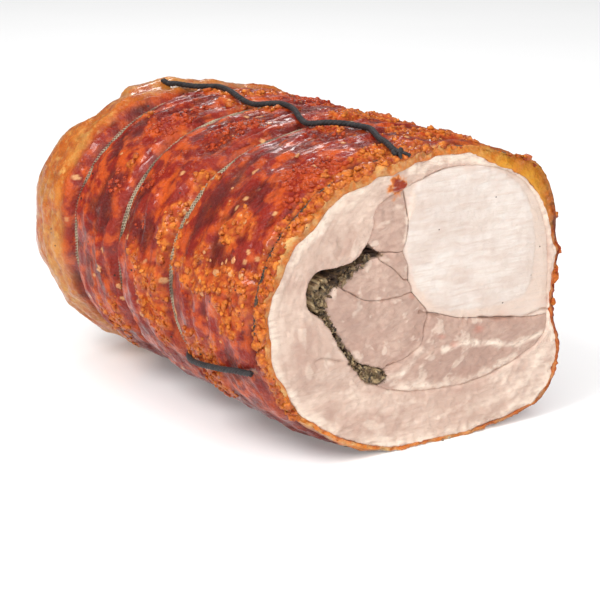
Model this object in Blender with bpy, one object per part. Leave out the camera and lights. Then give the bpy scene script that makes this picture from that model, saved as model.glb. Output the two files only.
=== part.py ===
"""A cooked porchetta: pork loin and belly rolled in its own rind, tied with string and cut across once.

The roll lies along Y and stands on z = 0. The cut face looks towards -Y, the roasted end towards +Y.
Every muscle and layer that shows at the cut runs through the roll as a solid of its own.
Sections are drawn from the middle of the roll: x to the right and z up, as seen from the cut.
"""

from math import cos, pi, radians, sin

import bmesh
import bpy
import numpy as np

MM = 0.001

# The roll. Its section is a superellipse with a few soft lobes.
CUT_Y = -0.1195
FAR_Y = 0.1185
HALF_WIDTH = 0.0890
HALF_HEIGHT = 0.0745
CENTRE_X = 0.00274
CENTRE_Y = -0.00283
CENTRE_Z = 0.0728
SQUARENESS = 2.35
# How far the section lies to the left, and the share of it that is lost by the far end
SIDE_SHIFT = 4.0 * MM
SIDE_SHIFT_FADE = 0.6
# Each lobe: its angle and spread in degrees, and how far it stands out at the cut and at the far end.
LOBES = [
    (-36, 15, 14.0 * MM, 2.0 * MM),
    (37, 13, 6.3 * MM, 1.0 * MM),
    (60, 22, 4.2 * MM, -0.5 * MM),
    (-7, 7, -4.0 * MM, -0.6 * MM),
    (178, 14, 1.8 * MM, 0.0 * MM),
    (140, 22, -4.0 * MM, -1.0 * MM),
    (-138, 24, -8.0 * MM, -10.0 * MM),
]

# The ties, from the cut face to the far end, and the swell of the rind in each bay between them.
TIE_Y = [-0.1120, -0.0350, 0.0195, 0.0720]
TIE_WANDER = [0.8 * MM, 2.4 * MM, 2.0 * MM, 2.6 * MM]
BAY_SWELL = [1.0 * MM, 5.0 * MM, 4.4 * MM, 4.6 * MM, 6.5 * MM]
SWELL_POWER = 2.6
# Where round the roll the bays swell less or more: angle and spread in degrees, and the share added.
SWELL_SHARES = [(64, 30, -0.8), (165, 35, 0.1)]
GROOVE_DEPTH = 2.6 * MM
GROOVE_HALF_WIDTH = 4.0 * MM
GROOVE_UNDERNEATH = 4.4 * MM
TIE_RADIUS = 1.2 * MM
CORD_RADIUS = 1.35 * MM
# How far a string's middle stands off the bottom of its groove, and a cord's off the rind
TIE_HEIGHT = TIE_RADIUS + 1.5 * MM
CORD_HEIGHT = CORD_RADIUS + 2.2 * MM
GAP = 0.5 * MM

# The cords that lead from tie to tie: the angle round the roll in degrees, and the place along Y.
TOP_CORD = [
    (104.8, 0.093), (103.5, 0.084), (100, 0.074), (94, 0.062), (96, 0.048), (99, 0.026), (97.5, 0.010),
    (93, -0.001), (94, -0.014), (99, -0.031), (101, -0.044), (97, -0.054), (91, -0.063), (90, -0.073),
    (93.5, -0.085), (96.5, -0.096), (99, -0.108), (100, -0.1175),
]
SIDE_CORD = [
    (200.3, -0.038), (198.5, -0.054), (196.2, -0.073), (194.8, -0.0886), (194, -0.100), (193.5, -0.108),
]
# The distance between the rings of each cord: the side cord is almost straight.
TOP_CORD_STEP = 3.2 * MM
SIDE_CORD_STEP = 7.0 * MM
TIE_SIDES = 5
CORD_SIDES = 6
CORD_TONE = (0.09, 0.075, 0.065)

# The roasted end: the rind turns in over a shoulder, and its rim is gathered into lobes by creases.
SHOULDER_DEPTH = 0.026
SHOULDER_INSET = 0.24
LAST_BAY_SHARE = 0.62
LAST_BAY_LEAST = 16.0 * MM
END_DOME = 3.0 * MM
END_GATHER = 0.78
# Each crease: its angle and spread in degrees, and its depth. A depth under 0 is a bulge.
END_CREASES = [
    (108, 14, -6 * MM),
    (128, 8, 13 * MM),
    (62, 7, 5 * MM),
    (-15, 6, 6 * MM),
    (-72, 7, 5 * MM),
    (-160, 6, 4 * MM),
]
END_LEAN = 8.5 * MM
END_LEAN_ANGLE = 205

# The cut: the rind's edge slopes back where it has lifted off, and the meat is a little uneven.
CHAMFER_ANGLE = 45
CHAMFER_SPREAD = 17
CHAMFER_DEPTH = 4.0 * MM
CHAMFER_WIDTH = 0.17
CUT_WAVE = 0.5 * MM

# Relief of the rind
WRINKLE = 0.8 * MM
PUCKER = 1.0 * MM
CRAG = 1.1 * MM

# How finely the solids are cut into faces
RAYS = 76
BORE_RAYS = 2 * RAYS
FINE_RAYS = 300
EDGE_SPACING = 3.4
BAY_ROWS = [2, 11, 8, 8]
SIDE_ROWS = 5
SHOULDER_ROWS = 4

# The bore of the belly wrap and the outlines of the muscles in it, in millimetres.
BORE = [
    (15.7, 66.5), (38.0, 64.5), (59.5, 56.5), (71.5, 43.0), (78.0, 26.0), (79.6, 4.0), (79.8, -14.0),
    (79.0, -27.0), (68.0, -35.5), (52.0, -41.5), (33.0, -45.5), (10.0, -45.5), (-9.0, -43.0), (-22.0, -39.0),
    (-36.0, -29.5), (-46.5, -16.0), (-56.0, 0.5), (-66.0, 8.0), (-67.0, 18.5), (-61.5, 26.0), (-50.5, 26.5),
    (-41.0, 28.0), (-33.5, 33.5), (-29.0, 42.0), (-27.5, 51.0), (-19.0, 57.0), (-5.0, 61.5),
]
LOIN = [
    (-9.0, 38.0), (-7.5, 52.0), (0.0, 64.0), (15.0, 72.0), (36.0, 70.0), (60.0, 62.0), (78.0, 48.0),
    (88.0, 26.0), (89.0, 0.0), (86.0, -14.0), (72.0, -17.0), (40.0, -12.5), (15.0, -7.5), (1.0, 1.5),
    (-7.0, 18.0),
]
CORE_UPPER = [
    (-43.0, 14.5), (-45.0, 18.0), (-40.0, 25.0), (-30.0, 28.0), (-18.0, 21.0), (-9.0, 12.5), (-7.5, 8.0),
    (-20.0, 6.3), (-34.0, 8.5),
]
CORE_LOWER = [
    (-54.0, 12.5), (-43.5, 12.0), (-35.0, 7.5), (-22.0, 5.0), (-8.0, 5.5), (0.5, -1.5), (2.5, -9.0),
    (-1.0, -18.5),
    (-10.0, -24.5), (-22.0, -27.0), (-33.0, -23.5), (-41.0, -15.0), (-49.0, -3.0),
]
SIDE_UPPER = [(-25.0, 41.5), (-20.5, 52.5), (-12.0, 51.5), (-8.5, 39.0), (-15.0, 30.0), (-22.5, 31.5)]
SIDE_LOWER = [(-24.5, 26.5), (-17.0, 28.5), (-9.0, 21.0), (-10.0, 14.0), (-17.0, 21.0)]
BELLY_FLAP = [
    (6.0, -7.0), (25.0, -12.0), (50.0, -16.0), (74.0, -19.0), (86.0, -17.0), (84.0, -27.0), (70.0, -34.5),
    (50.0, -41.5), (33.0, -45.5), (10.0, -45.5), (-9.0, -43.0), (-19.0, -39.0), (-18.0, -30.0), (0.0, -23.0),
]
# The middle of each muscle, from which its outline can be seen all round
MUSCLES = {
    "loin": (LOIN, (38, 26), (0.80, 0.62, 0.52)),
    "core_upper": (CORE_UPPER, (-28, 17), (0.56, 0.36, 0.29)),
    "core_lower": (CORE_LOWER, (-24, -10), (0.56, 0.36, 0.29)),
    "side_muscle_upper": (SIDE_UPPER, (-17, 41), (0.62, 0.44, 0.37)),
    "side_muscle_lower": (SIDE_LOWER, (-16.5, 23), (0.62, 0.44, 0.37)),
    "belly_flap": (BELLY_FLAP, (30, -28), (0.60, 0.42, 0.35)),
}
# The herb filling: points along its line, each with half its thickness, in millimetres.
HERBS = [
    (-25.0, 29.0, 1.3), (-31.0, 28.2, 1.6), (-38.5, 25.5, 1.5), (-46.0, 20.5, 1.4), (-53.5, 19.0, 3.2),
    (-59.5, 17.0, 4.6), (-60.5, 10.0, 3.6), (-57.0, 3.5, 1.3), (-51.0, -6.5, 1.0), (-44.0, -17.0, 1.0),
    (-38.0, -25.0, 1.6), (-31.0, -30.5, 3.6), (-22.0, -33.0, 2.4),
]


def smooth_loop(points, each=5):
    """A closed curve that runs smoothly through the points."""
    p = np.array(points, float)
    before, after, beyond = np.roll(p, 1, 0), np.roll(p, -1, 0), np.roll(p, -2, 0)
    made = []
    for t in np.arange(each) / each:
        bend = (2 * before - 5 * p + 4 * after - beyond) * t**2 + (3 * p - before - 3 * after + beyond) * t**3
        made.append(0.5 * (2 * p + (after - before) * t + bend))
    return np.stack(made, 1).reshape(-1, p.shape[1])


def smooth_line(points, each):
    """An open curve that runs smoothly through the points."""
    p = np.array(points, float)
    prolonged = np.concatenate([2 * p[:1] - p[1:2], p, 2 * p[-1:] - p[-2:-1]])
    return smooth_loop(prolonged, each)[each : each * len(p) + 1]


def loop_distance(loop, x, z):
    """How far (x, z) lies outside a closed loop; inside it is negative."""
    a, b = loop, np.roll(loop, -1, 0)
    dx, dz = (b - a).T
    px, pz = x[..., None] - a[:, 0], z[..., None] - a[:, 1]
    t = np.clip((px * dx + pz * dz) / (dx**2 + dz**2), 0, 1)
    far = np.sqrt(((px - t * dx) ** 2 + (pz - t * dz) ** 2).min(-1))
    crosses = (a[:, 1] > z[..., None]) != (b[:, 1] > z[..., None])
    span = np.where(dz == 0, 1.0, dz)
    right = x[..., None] < a[:, 0] + (z[..., None] - a[:, 1]) * dx / span
    inside = (crosses & right).sum(-1) % 2 == 1
    return np.where(inside, -far, far)


def herb_outline():
    """The outline of the herb filling, from its line and thickness."""
    x, z, half = np.array(HERBS, float).T
    dx, dz = np.gradient(x), np.gradient(z)
    side = np.stack([-dz, dx], 1) * (half / np.hypot(dx, dz))[:, None]
    middle = np.stack([x, z], 1)
    return smooth_loop(np.concatenate([middle + side, (middle - side)[::-1]]), 3)


def reach(centre, inside, rays, longest=100.0, step=0.4):
    """The outline of a region: along each ray from its centre, the last place before one outside it."""
    angles = np.arange(rays) * 2 * pi / rays
    out = np.arange(step, longest, step)
    x = centre[0] + np.cos(angles)[:, None] * out
    z = centre[1] + np.sin(angles)[:, None] * out
    last = out[inside(x, z).argmin(1)] - step
    return np.stack([centre[0] + np.cos(angles) * last, centre[1] + np.sin(angles) * last], 1)


def evenly(loop, count):
    """The same closed outline with its points at even distances along it."""
    closed = np.concatenate([loop, loop[:1]])
    run = np.concatenate([[0], np.cumsum(np.hypot(*np.diff(closed, axis=0).T))])
    marks = np.arange(count) * run[-1] / count
    return np.stack([np.interp(marks, run, closed[:, i]) for i in range(2)], 1)


def degrees_off(theta, angle):
    return (np.degrees(theta) - angle + 180) % 360 - 180


def bell(theta, angle, spread):
    return np.exp(-0.5 * (degrees_off(theta, angle) / spread) ** 2)


def section_radius(theta, along=0.0):
    """The section's radius at an angle. along runs from 0 at the cut to 1 at the far end."""
    c, s = np.abs(np.cos(theta)), np.abs(np.sin(theta))
    radius = ((c / HALF_WIDTH) ** SQUARENESS + (s / HALF_HEIGHT) ** SQUARENESS) ** (-1 / SQUARENESS)
    radius = radius - SIDE_SHIFT * (1 - SIDE_SHIFT_FADE * along) * np.cos(theta)
    for angle, spread, near, far in LOBES:
        radius = radius + (near + (far - near) * along) * bell(theta, angle, spread)
    return radius


def tie_line(k, theta):
    """Where tie k lies along Y at each angle: a string is never quite square to the roll."""
    k %= len(TIE_Y)
    return TIE_Y[k] + TIE_WANDER[k] * np.sin(theta * (1 + k % 2) + 1.9 * k)


def end_reach(theta):
    """How far along Y the far rim reaches: it leans out at the lower left and dips at each crease."""
    dips = sum(depth * bell(theta, angle, spread) for angle, spread, depth in END_CREASES)
    return END_LEAN * np.cos(theta - radians(END_LEAN_ANGLE)) - dips


def shoulder_line(theta):
    """Where the rind starts to turn in at the roasted end."""
    return np.maximum(FAR_Y + end_reach(theta) - SHOULDER_DEPTH, tie_line(-1, theta) + LAST_BAY_LEAST)


def relief(theta, y):
    """Wrinkles and crags of the rind that are wide enough for the solid."""
    wrinkle = np.sin(y * 430 + 2.2 * np.sin(2 * theta) + 1.1 * np.sin(7 * theta))
    crag = np.sin(9 * theta + y * 210) * np.sin(6 * theta - y * 330 + 1) * np.sin(3 * theta + 1.5)
    return WRINKLE * wrinkle * (0.55 + 0.45 * np.sin(3 * theta + 30 * y)) + CRAG * crag


def pucker(theta, k):
    """Small pleats that a string gathers, as a wave round the roll."""
    return PUCKER * np.sin(13 * theta + 2.0 * k + 1.3 * np.sin(2 * theta)) * np.sin(5 * theta + k)


def swell_share(theta):
    return 1 + sum(share * bell(theta, angle, spread) for angle, spread, share in SWELL_SHARES)


def rind_radius(theta, y):
    """The rind's distance from the middle of the roll, before it is flattened underneath."""
    radius = section_radius(theta, np.clip((y - CUT_Y) / (FAR_Y - CUT_Y), 0, 1))
    ties = [tie_line(k, theta) for k in range(len(TIE_Y))]
    last = ties[-1] + (shoulder_line(theta) - ties[-1]) / LAST_BAY_SHARE
    lines = [np.full_like(theta, CUT_Y), *ties, last]
    for swell, start, end in zip(BAY_SWELL, lines, lines[1:]):
        share = np.clip((y - start) / (end - start), 0, 1)
        radius = radius + swell_share(theta) * swell * (1 - np.abs(2 * share - 1) ** SWELL_POWER)
        radius = radius + relief(theta, y) * np.minimum(1, 3 * np.minimum(share, 1 - share))
    for k, tie in enumerate(ties):
        groove = np.exp(-(((y - tie) / GROOVE_HALF_WIDTH) ** 2))
        beside = np.exp(-(((y - tie) / (3 * GROOVE_HALF_WIDTH)) ** 2)) - groove
        radius = radius - GROOVE_DEPTH * groove + pucker(theta, k) * beside
    return radius


def lowest(theta, y):
    """The height under which the rind is flattened, raised where a tie passes under the roll."""
    notch = sum(np.exp(-(((y - tie_line(k, theta)) / GROOVE_HALF_WIDTH) ** 2)) for k in range(len(TIE_Y)))
    return GROOVE_UNDERNEATH * notch - CENTRE_Z


def rind_points(theta, y, inset=1.0):
    """One row of the rind, as points from the middle of the roll."""
    radius = rind_radius(theta, y) * inset
    x, z = radius * np.cos(theta), radius * np.sin(theta)
    return np.stack([x, y, np.maximum(z, lowest(theta, y))], -1)


def rind_rows():
    """The rind from the cut to the rim of the roasted end."""
    theta = np.arange(RAYS) * 2 * pi / RAYS
    lines = [CUT_Y + 0.6 * MM * np.sin(11 * theta)] + [tie_line(k, theta) for k in range(len(TIE_Y))]
    rows = []
    for start, end, count in zip(lines, lines[1:], BAY_ROWS):
        even = np.arange(count) / count
        for share in 0.5 * even + 0.25 * (1 - np.cos(pi * even)):
            rows.append(rind_points(theta, start + (end - start) * share))
    shoulder = shoulder_line(theta)
    for share in np.arange(SIDE_ROWS) / SIDE_ROWS:
        rows.append(rind_points(theta, lines[-1] + (shoulder - lines[-1]) * share))
    for turn in np.arange(SHOULDER_ROWS + 1) / SHOULDER_ROWS * pi / 2:
        row = rind_points(theta, shoulder, 1 - SHOULDER_INSET * (1 - cos(turn)))
        row[:, 1] += SHOULDER_DEPTH * sin(turn)
        rows.append(row)
    return rows


def cut_face(x, z):
    """Y of the cut at a place from the middle of the section, in metres."""
    theta = np.arctan2(z, x)
    share = np.hypot(x, z) / section_radius(theta)
    slope = np.clip((share - 1 + CHAMFER_WIDTH) / CHAMFER_WIDTH, 0, 1) ** 1.5
    chamfer = CHAMFER_DEPTH * np.exp(-0.5 * (degrees_off(theta, CHAMFER_ANGLE) / CHAMFER_SPREAD) ** 2) * slope
    return CUT_Y + chamfer + CUT_WAVE * np.sin(x * 75 + 1) * np.sin(z * 95 + 0.4)


def far_face(x, z):
    """Y of the roasted end at a place from the middle of the section, in metres."""
    theta = np.arctan2(z, x)
    share = np.hypot(x, z) / section_radius(theta, 1.0)
    rim = 0.55 * end_reach(theta) * np.clip((share - 0.35) / 0.5, 0, 1) ** 2
    return FAR_Y + END_DOME * (1 - share**2) + rim


def on_face(face_y, flat):
    """Points of a section, in metres, laid on the cut or, drawn together, on the roasted end."""
    if face_y is far_face:
        flat = flat * END_GATHER
    return np.stack([flat[:, 0], face_y(flat[:, 0], flat[:, 1]), flat[:, 1]], 1)


def finish(name, colour, roughness):
    material = bpy.data.materials.new(name)
    material.use_nodes = True
    shader = material.node_tree.nodes["Principled BSDF"]
    shader.inputs["Base Color"].default_value = (*colour, 1)
    shader.inputs["Roughness"].default_value = roughness
    shader.inputs["Metallic"].default_value = 0
    return material


def place(name, data, colour, roughness):
    obj = bpy.data.objects.new(name, data)
    bpy.context.scene.collection.objects.link(obj)
    data.materials.append(finish(name, colour, roughness))
    obj.location = (CENTRE_X, CENTRE_Y, CENTRE_Z)


class Rings:
    """A solid built up ring by ring."""

    def __init__(self):
        self.mesh = bmesh.new()

    def ring(self, points):
        return [self.mesh.verts.new(point) for point in points]

    def join(self, first, second):
        """Faces between two rings. The second may have twice as many points as the first."""
        twice = len(second) // len(first)
        for i in range(len(first)):
            a, b = first[i], first[(i + 1) % len(first)]
            along = [second[(twice * i + k) % len(second)] for k in range(twice + 1)]
            self.mesh.faces.new((a, b, along[-1], along[-2]))
            if twice == 2:
                self.mesh.faces.new((a, along[1], along[0]))

    def close(self, ring):
        self.mesh.faces.new(ring)

    def fan(self, ring, middle):
        pole = self.mesh.verts.new(middle)
        for i in range(len(ring)):
            self.mesh.faces.new((ring[i], ring[(i + 1) % len(ring)], pole))

    def done(self, name, colour, roughness):
        bmesh.ops.recalc_face_normals(self.mesh, faces=self.mesh.faces)
        bmesh.ops.triangulate(self.mesh, faces=self.mesh.faces)
        data = bpy.data.meshes.new(name)
        self.mesh.to_mesh(data)
        self.mesh.free()
        data.shade_smooth()
        data.set_sharp_from_angle(angle=radians(40))
        place(name, data, colour, roughness)


def belly_wrap(bore):
    """The rind with its fat and outer belly: a thick tube whose bore holds all the other layers."""
    solid = Rings()
    rows = rind_rows()
    rings = [solid.ring(row) for row in rows]
    for first, second in zip(rings, rings[1:]):
        solid.join(first, second)
    mouths = []
    for rim, row, face_y in ((rings[0], rows[0], cut_face), (rings[-1], rows[-1], far_face)):
        edge = row[:, [0, 2]] / (END_GATHER if face_y is far_face else 1)
        for share in (0.14, 0.5):
            inner = solid.ring(on_face(face_y, edge + (bore[::2] * MM - edge) * share))
            solid.join(rim, inner)
            rim = inner
        mouths.append(solid.ring(on_face(face_y, bore * MM)))
        solid.join(rim, mouths[-1])
    solid.join(*mouths)
    solid.done("belly_wrap", (0.36, 0.07, 0.02), 0.3)


def muscle(name, outline, centre, colour):
    """A muscle that runs through the roll, from its outline in millimetres round its centre."""
    solid = Rings()
    middle = np.array(centre, float)
    ends = []
    for face_y in (cut_face, far_face):
        outer = solid.ring(on_face(face_y, outline * MM))
        inner = solid.ring(on_face(face_y, (middle + (outline - middle) * 0.6) * MM))
        solid.join(outer, inner)
        solid.fan(inner, on_face(face_y, middle[None] * MM)[0])
        ends.append(outer)
    solid.join(*ends)
    solid.done(name, colour, 0.6)


def herb_filling():
    """The herbs that line the roll: a closed band of changing thickness along its line."""
    solid = Rings()
    outline = herb_outline() * MM
    ends = [solid.ring(on_face(face_y, outline)) for face_y in (cut_face, far_face)]
    solid.join(*ends)
    for end in ends:
        solid.close(end)
    solid.done("herb_filling", (0.14, 0.12, 0.05), 0.8)


def string(name, points, radius, sides, closed=False):
    """A length of string as a tube along its points."""
    ahead = np.roll(points, -1, 0) - np.roll(points, 1, 0)
    if not closed:
        ahead[0], ahead[-1] = points[1] - points[0], points[-1] - points[-2]
    ahead /= np.linalg.norm(ahead, axis=1)[:, None]
    outward = points * (1, 0, 1)
    outward -= ahead * (outward * ahead).sum(1)[:, None]
    outward /= np.linalg.norm(outward, axis=1)[:, None]
    aside = np.cross(ahead, outward)
    turn = np.arange(sides) * 2 * pi / sides
    section = outward[:, None] * np.cos(turn)[:, None] + aside[:, None] * np.sin(turn)[:, None]
    solid = Rings()
    rings = [solid.ring(row) for row in points[:, None] + radius * section]
    for first, second in zip(rings, rings[1:]):
        solid.join(first, second)
    if closed:
        solid.join(rings[-1], rings[0])
    else:
        solid.close(rings[0])
        solid.close(rings[-1])
    solid.done(name, CORD_TONE, 0.7)


def tie(k):
    """One loop of string round the roll, at the bottom of its groove."""
    theta = np.arange(RAYS) * 2 * pi / RAYS
    points = rind_points(theta, tie_line(k, theta))
    outward = np.roll(points, 1, 0) - np.roll(points, -1, 0)
    outward = np.stack([-outward[:, 2], 0 * theta, outward[:, 0]], 1)
    outward /= np.linalg.norm(outward, axis=1)[:, None]
    string(f"tie_{k + 1}", points + outward * TIE_HEIGHT, TIE_RADIUS, TIE_SIDES, closed=True)


def cord_points(route, step):
    """A cord laid over the rind and the ties, through the places of its route, at even steps."""
    angle, y = smooth_line(route, 12).T
    theta = np.radians(angle)
    height = np.max([rind_radius(theta, y + dy) for dy in np.linspace(-3, 3, 7) * MM], 0) + CORD_HEIGHT
    for k in range(len(TIE_Y)):
        over = rind_radius(theta, tie_line(k, theta)) + TIE_HEIGHT + TIE_RADIUS + CORD_RADIUS + GAP
        beside = np.abs(y - tie_line(k, theta)) < 3 * MM
        height = np.where(beside, np.maximum(height, over), height)
    for pick in (np.max, np.mean):
        padded = np.pad(height, 3, mode="edge")
        height = pick([padded[i : i + len(height)] for i in range(7)], 0)
    points = np.stack([height * np.cos(theta), y, height * np.sin(theta)], 1)
    run = np.concatenate([[0], np.cumsum(np.linalg.norm(np.diff(points, axis=0), axis=1))])
    marks = np.linspace(0, run[-1], round(run[-1] / step))
    return np.stack([np.interp(marks, run, points[:, i]) for i in range(3)], 1)


def main():
    for obj in list(bpy.data.objects):
        bpy.data.objects.remove(obj)
    bore_loop = smooth_loop(BORE)
    herb_loop = herb_outline()
    loops = {name: smooth_loop(outline) for name, (outline, centre, colour) in MUSCLES.items()}

    def in_bore(x, z, clear):
        return (loop_distance(bore_loop, x, z) < -clear) | (loop_distance(herb_loop, x, z) < GAP / MM - clear)

    belly_wrap(reach((0.0, 0.0), lambda x, z: in_bore(x, z, 0), BORE_RAYS))
    for name, (outline, centre, colour) in MUSCLES.items():

        def inside(x, z):
            own = loop_distance(loops[name], x, z)
            others = np.min([loop_distance(loop, x, z) for key, loop in loops.items() if key != name], 0)
            clear = (own - others < -GAP / MM) & (loop_distance(herb_loop, x, z) > GAP / MM)
            return clear & in_bore(x, z, GAP / MM)

        seen = reach(centre, inside, FINE_RAYS)
        length = np.hypot(*(seen - np.roll(seen, 1, 0)).T).sum()
        muscle(name, evenly(seen, round(length / EDGE_SPACING)), centre, colour)
    herb_filling()
    for k in range(len(TIE_Y)):
        tie(k)
    string("top_cord", cord_points(TOP_CORD, TOP_CORD_STEP), CORD_RADIUS, CORD_SIDES)
    string("side_cord", cord_points(SIDE_CORD, SIDE_CORD_STEP), CORD_RADIUS, CORD_SIDES)


main()
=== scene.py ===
from math import cos, pi, radians, sin, tau

import bmesh
import bpy
import numpy as np
from bpy.props import FloatProperty, FloatVectorProperty, PointerProperty
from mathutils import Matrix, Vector


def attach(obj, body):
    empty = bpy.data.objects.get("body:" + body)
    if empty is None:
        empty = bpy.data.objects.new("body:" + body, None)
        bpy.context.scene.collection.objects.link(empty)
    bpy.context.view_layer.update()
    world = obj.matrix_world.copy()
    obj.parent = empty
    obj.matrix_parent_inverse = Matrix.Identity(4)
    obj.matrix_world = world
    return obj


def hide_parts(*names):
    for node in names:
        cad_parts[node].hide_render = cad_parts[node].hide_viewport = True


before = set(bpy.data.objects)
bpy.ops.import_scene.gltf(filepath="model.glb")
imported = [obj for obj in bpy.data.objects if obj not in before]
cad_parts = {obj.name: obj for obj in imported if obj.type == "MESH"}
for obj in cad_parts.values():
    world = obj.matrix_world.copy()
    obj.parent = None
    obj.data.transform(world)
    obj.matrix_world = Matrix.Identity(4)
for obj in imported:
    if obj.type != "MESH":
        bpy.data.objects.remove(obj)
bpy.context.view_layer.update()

bl_info = {
    "name": "Porchetta",
    "version": (1, 0, 0),
    "blender": (4, 5, 0),
    "location": "View3D > Sidebar > Porchetta",
    "description": "A tied pork roll in its crackling, cut across once",
    "category": "Object",
}

MM = 0.001

# The form of the roll, as in the solids
CUT_Y = -0.1195
FAR_Y = 0.1185
HALF_WIDTH = 0.0890
HALF_HEIGHT = 0.0745
CENTRE = np.array([0.00274, -0.00283, 0.0728])
SQUARENESS = 2.35
SIDE_SHIFT = 4.0 * MM
SIDE_SHIFT_FADE = 0.6
LOBES = [
    (-36, 15, 14.0 * MM, 2.0 * MM),
    (37, 13, 6.3 * MM, 1.0 * MM),
    (60, 22, 4.2 * MM, -0.5 * MM),
    (-7, 7, -4.0 * MM, -0.6 * MM),
    (178, 14, 1.8 * MM, 0.0 * MM),
    (140, 22, -4.0 * MM, -1.0 * MM),
    (-138, 24, -8.0 * MM, -10.0 * MM),
]
TIE_Y = [-0.1120, -0.0350, 0.0195, 0.0720]
TIE_WANDER = [0.8 * MM, 2.4 * MM, 2.0 * MM, 2.6 * MM]
BAY_SWELL = [1.0 * MM, 5.0 * MM, 4.4 * MM, 4.6 * MM, 6.5 * MM]
SWELL_POWER = 2.6
SWELL_SHARES = [(64, 30, -0.8), (165, 35, 0.1)]
GROOVE_DEPTH = 2.6 * MM
GROOVE_HALF_WIDTH = 4.0 * MM
GROOVE_UNDERNEATH = 4.4 * MM
TOP_CORD = [
    (104.8, 0.093), (103.5, 0.084), (100, 0.074), (94, 0.062), (96, 0.048), (99, 0.026), (97.5, 0.010),
    (93, -0.001), (94, -0.014), (99, -0.031), (101, -0.044), (97, -0.054), (91, -0.063), (90, -0.073),
    (93.5, -0.085), (96.5, -0.096), (99, -0.108), (100, -0.1175),
]
SIDE_CORD = [
    (200.3, -0.038), (198.5, -0.054), (196.2, -0.073), (194.8, -0.0886), (194, -0.100), (193.5, -0.108),
]
SHOULDER_DEPTH = 0.026
SHOULDER_INSET = 0.24
LAST_BAY_SHARE = 0.62
LAST_BAY_LEAST = 16.0 * MM
END_DOME = 3.0 * MM
END_GATHER = 0.78
END_CREASES = [
    (108, 14, -6 * MM),
    (128, 8, 13 * MM),
    (62, 7, 5 * MM),
    (-15, 6, 6 * MM),
    (-72, 7, 5 * MM),
    (-160, 6, 4 * MM),
]
END_LEAN = 8.5 * MM
END_LEAN_ANGLE = 205
CHAMFER_ANGLE = 45
CHAMFER_SPREAD = 17
CHAMFER_DEPTH = 4.0 * MM
CHAMFER_WIDTH = 0.17
CUT_WAVE = 0.5 * MM
WRINKLE = 0.8 * MM
PUCKER = 1.0 * MM
CRAG = 1.1 * MM

# Outlines at the cut, in millimetres from the middle of the roll: x to the right, z up.
BORE = [
    (15.7, 66.5), (38.0, 64.5), (59.5, 56.5), (71.5, 43.0), (78.0, 26.0), (79.6, 4.0), (79.8, -14.0),
    (79.0, -27.0), (68.0, -35.5), (52.0, -41.5), (33.0, -45.5), (10.0, -45.5), (-9.0, -43.0), (-22.0, -39.0),
    (-36.0, -29.5), (-46.5, -16.0), (-56.0, 0.5), (-66.0, 8.0), (-67.0, 18.5), (-61.5, 26.0), (-50.5, 26.5),
    (-41.0, 28.0), (-33.5, 33.5), (-29.0, 42.0), (-27.5, 51.0), (-19.0, 57.0), (-5.0, 61.5),
]
LOIN = [
    (-9.0, 38.0), (-7.5, 52.0), (0.0, 64.0), (15.0, 72.0), (36.0, 70.0), (60.0, 62.0), (78.0, 48.0),
    (88.0, 26.0), (89.0, 0.0), (86.0, -14.0), (72.0, -17.0), (40.0, -12.5), (15.0, -7.5), (1.0, 1.5),
    (-7.0, 18.0),
]
LOIN_EYE = [
    (-10.9, 38.4), (-9.3, 51.5), (-2.4, 61.4), (12.5, 66.4), (28.9, 66.2), (46.4, 61.5), (60.6, 51.5),
    (68.2, 35.7), (70.2, 17.3), (67.7, -0.6), (58.3, -7.0), (36.0, -8.0), (15.4, -5.1), (1.8, 3.8),
    (-7.6, 18.9),
]
CORE_UPPER = [
    (-43.0, 14.5), (-45.0, 18.0), (-40.0, 25.0), (-30.0, 28.0), (-18.0, 21.0), (-9.0, 12.5), (-7.5, 8.0),
    (-20.0, 6.3), (-34.0, 8.5),
]
CORE_LOWER = [
    (-54.0, 12.5), (-43.5, 12.0), (-35.0, 7.5), (-22.0, 5.0), (-8.0, 5.5), (0.5, -1.5), (2.5, -9.0),
    (-1.0, -18.5), (-10.0, -24.5), (-22.0, -27.0), (-33.0, -23.5), (-41.0, -15.0), (-49.0, -3.0),
]
SIDE_UPPER = [(-25.0, 41.5), (-20.5, 52.5), (-12.0, 51.5), (-8.5, 39.0), (-15.0, 30.0), (-22.5, 31.5)]
SIDE_LOWER = [(-24.5, 26.5), (-17.0, 28.5), (-9.0, 21.0), (-10.0, 14.0), (-17.0, 21.0)]
BELLY_FLAP = [
    (6.0, -7.0), (25.0, -12.0), (50.0, -16.0), (74.0, -19.0), (86.0, -17.0), (84.0, -27.0), (70.0, -34.5),
    (50.0, -41.5), (33.0, -45.5), (10.0, -45.5), (-9.0, -43.0), (-19.0, -39.0), (-18.0, -30.0), (0.0, -23.0),
]

# Each muscle's outline, a place inside it and its kind of meat
MUSCLES = {
    "loin": (LOIN, (38, 26), "loin_meat"),
    "core_upper": (CORE_UPPER, (-28, 17), "core_meat"),
    "core_lower": (CORE_LOWER, (-24, -10), "core_meat"),
    "side_muscle_upper": (SIDE_UPPER, (-17, 41), "core_meat"),
    "side_muscle_lower": (SIDE_LOWER, (-16.5, 23), "core_meat"),
    "belly_flap": (BELLY_FLAP, (30, -28), "core_meat"),
}

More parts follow.
